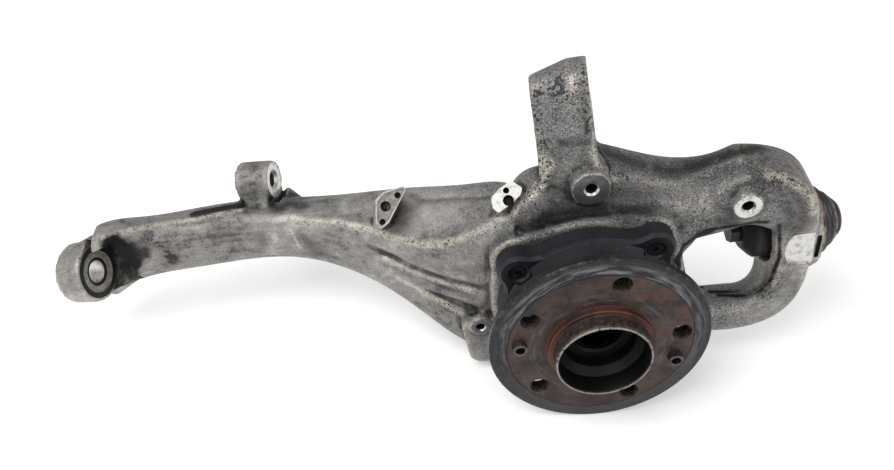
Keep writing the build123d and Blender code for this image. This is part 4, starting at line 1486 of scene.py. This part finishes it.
@dataclass
class Studio:
    """Pale floor, soft lamps and the camera."""

    focal_px: float = 1000.0
    width_px: float = 894.0
    sensor_mm: float = 36.0
    place: Vector = Vector((-148.87, -496.22, 537.87))
    right: Vector = Vector((0.9978, -0.066, 0.00556)).normalized()
    ahead: Vector = Vector((0.05373, 0.75739, -0.65075)).normalized()
    floor_z: float = -82.6
    floor_half: float = 8000.0
    paper_glow: float = 0.28
    room_light: float = 0.55
    aim: Vector = Vector((-0.12, 0.05, 0.02))
    # Name, place in metres, edge in metres and watts.
    lamps: Sequence[tuple[str, Vector, float, float]] = (
        ("key", Vector((-0.9, -0.5, 1.5)), 1.2, 22),
        ("fill", Vector((1.1, -1.3, 0.9)), 1.4, 9),
    )

    def camera(self) -> None:
        """Makes the camera and sets it as the scene's own."""
        data = bpy.data.cameras.new("camera")
        data.sensor_width = self.sensor_mm
        data.lens = self.sensor_mm * self.focal_px / self.width_px
        camera = new_object("camera", data)
        back = -self.ahead
        turn = Matrix((self.right, back.cross(self.right), back)).transposed().to_4x4()
        camera.matrix_world = Matrix.Translation(self.place * MM) @ turn
        bpy.context.scene.camera = camera

    def paper(self) -> bpy.types.Material:
        """Matt white paper: shows as plain white behind the object but keeps its shadow."""
        r = Recipe("studio_paper", "f2f2f2")
        r.set(Roughness=0.9, Specular_IOR_Level=0.0)
        rays = r.add("ShaderNodeLightPath", {}).node.outputs
        bounced = r.maths("MAXIMUM", rays["Is Glossy Ray"], rays["Is Transmission Ray"])
        seen = r.maths("MAXIMUM", rays["Is Camera Ray"], bounced)
        light = {"Color": (1, 1, 1, 1), "Strength": r.product(seen, self.paper_glow)}
        glow = r.add("ShaderNodeEmission", light)
        return r.done(r.add("ShaderNodeAddShader", {0: r.surface, 1: glow}))

    def floor(self) -> None:
        mesh = bpy.data.meshes.new("floor")
        corners = ((-1, -1), (1, -1), (1, 1), (-1, 1))
        half, low = self.floor_half * MM, self.floor_z * MM
        mesh.from_pydata([(x * half, y * half, low) for x, y in corners], [], [(0, 1, 2, 3)])
        mesh.materials.append(self.paper())
        floor = new_object("floor", mesh)

    def lamp(self, name: str, place: Vector, size: float, power: float) -> None:
        """Adds a square soft lamp that faces the object.

        Args:
            name: its name.
            place: where it hangs, in metres.
            size: its edge in metres.
            power: watts.
        """
        data = bpy.data.lights.new(name, "AREA")
        data.size = size
        data.energy = power
        lamp = new_object(name, data)
        lamp.location = place
        lamp.rotation_mode = "QUATERNION"
        lamp.rotation_quaternion = (self.aim - place).to_track_quat("-Z", "Y")

    def build(self) -> None:
        """Sets the floor, the world, the lamps and the view."""
        self.floor()
        world = bpy.data.worlds.new("soft_room")
        world.use_nodes = True
        background = world.node_tree.nodes["Background"]
        fill(background.inputs["Color"], (1, 1, 1, 1))
        fill(background.inputs["Strength"], self.room_light)
        bpy.context.scene.world = world
        for lamp in self.lamps:
            self.lamp(*lamp)
        bpy.context.scene.view_settings.view_transform = "Standard"


def box_of(objects: Sequence[bpy.types.Object]) -> list[list[float]]:
    """Lowest and highest corner of several objects."""
    spots = np.array([obj.matrix_world @ Vector(c) for obj in objects for c in obj.bound_box])
    return [spots.min(axis=0).tolist(), spots.max(axis=0).tolist()]


def main() -> None:
    """Builds the studio, then each piece in order, and reports them."""
    logging.basicConfig(level=logging.INFO, format="%(name)s: %(message)s")
    studio = Studio()
    studio.camera()
    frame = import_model()
    cad_box = box_of(list(frame["nodes"].values()))
    finishes = Finishes()
    studio.build()
    DressedNodes().dress(frame, finishes)
    hub = TurnedHub().build(finishes)
    casting = CastKnuckle().build(frame, finishes)
    boot = JointBoot().build(frame, finishes)
    for piece in (hub, casting, boot):
        LOG.info("%s: %d faces", piece.name, len(piece.data.polygons))


if __name__ == "__main__":
    main()
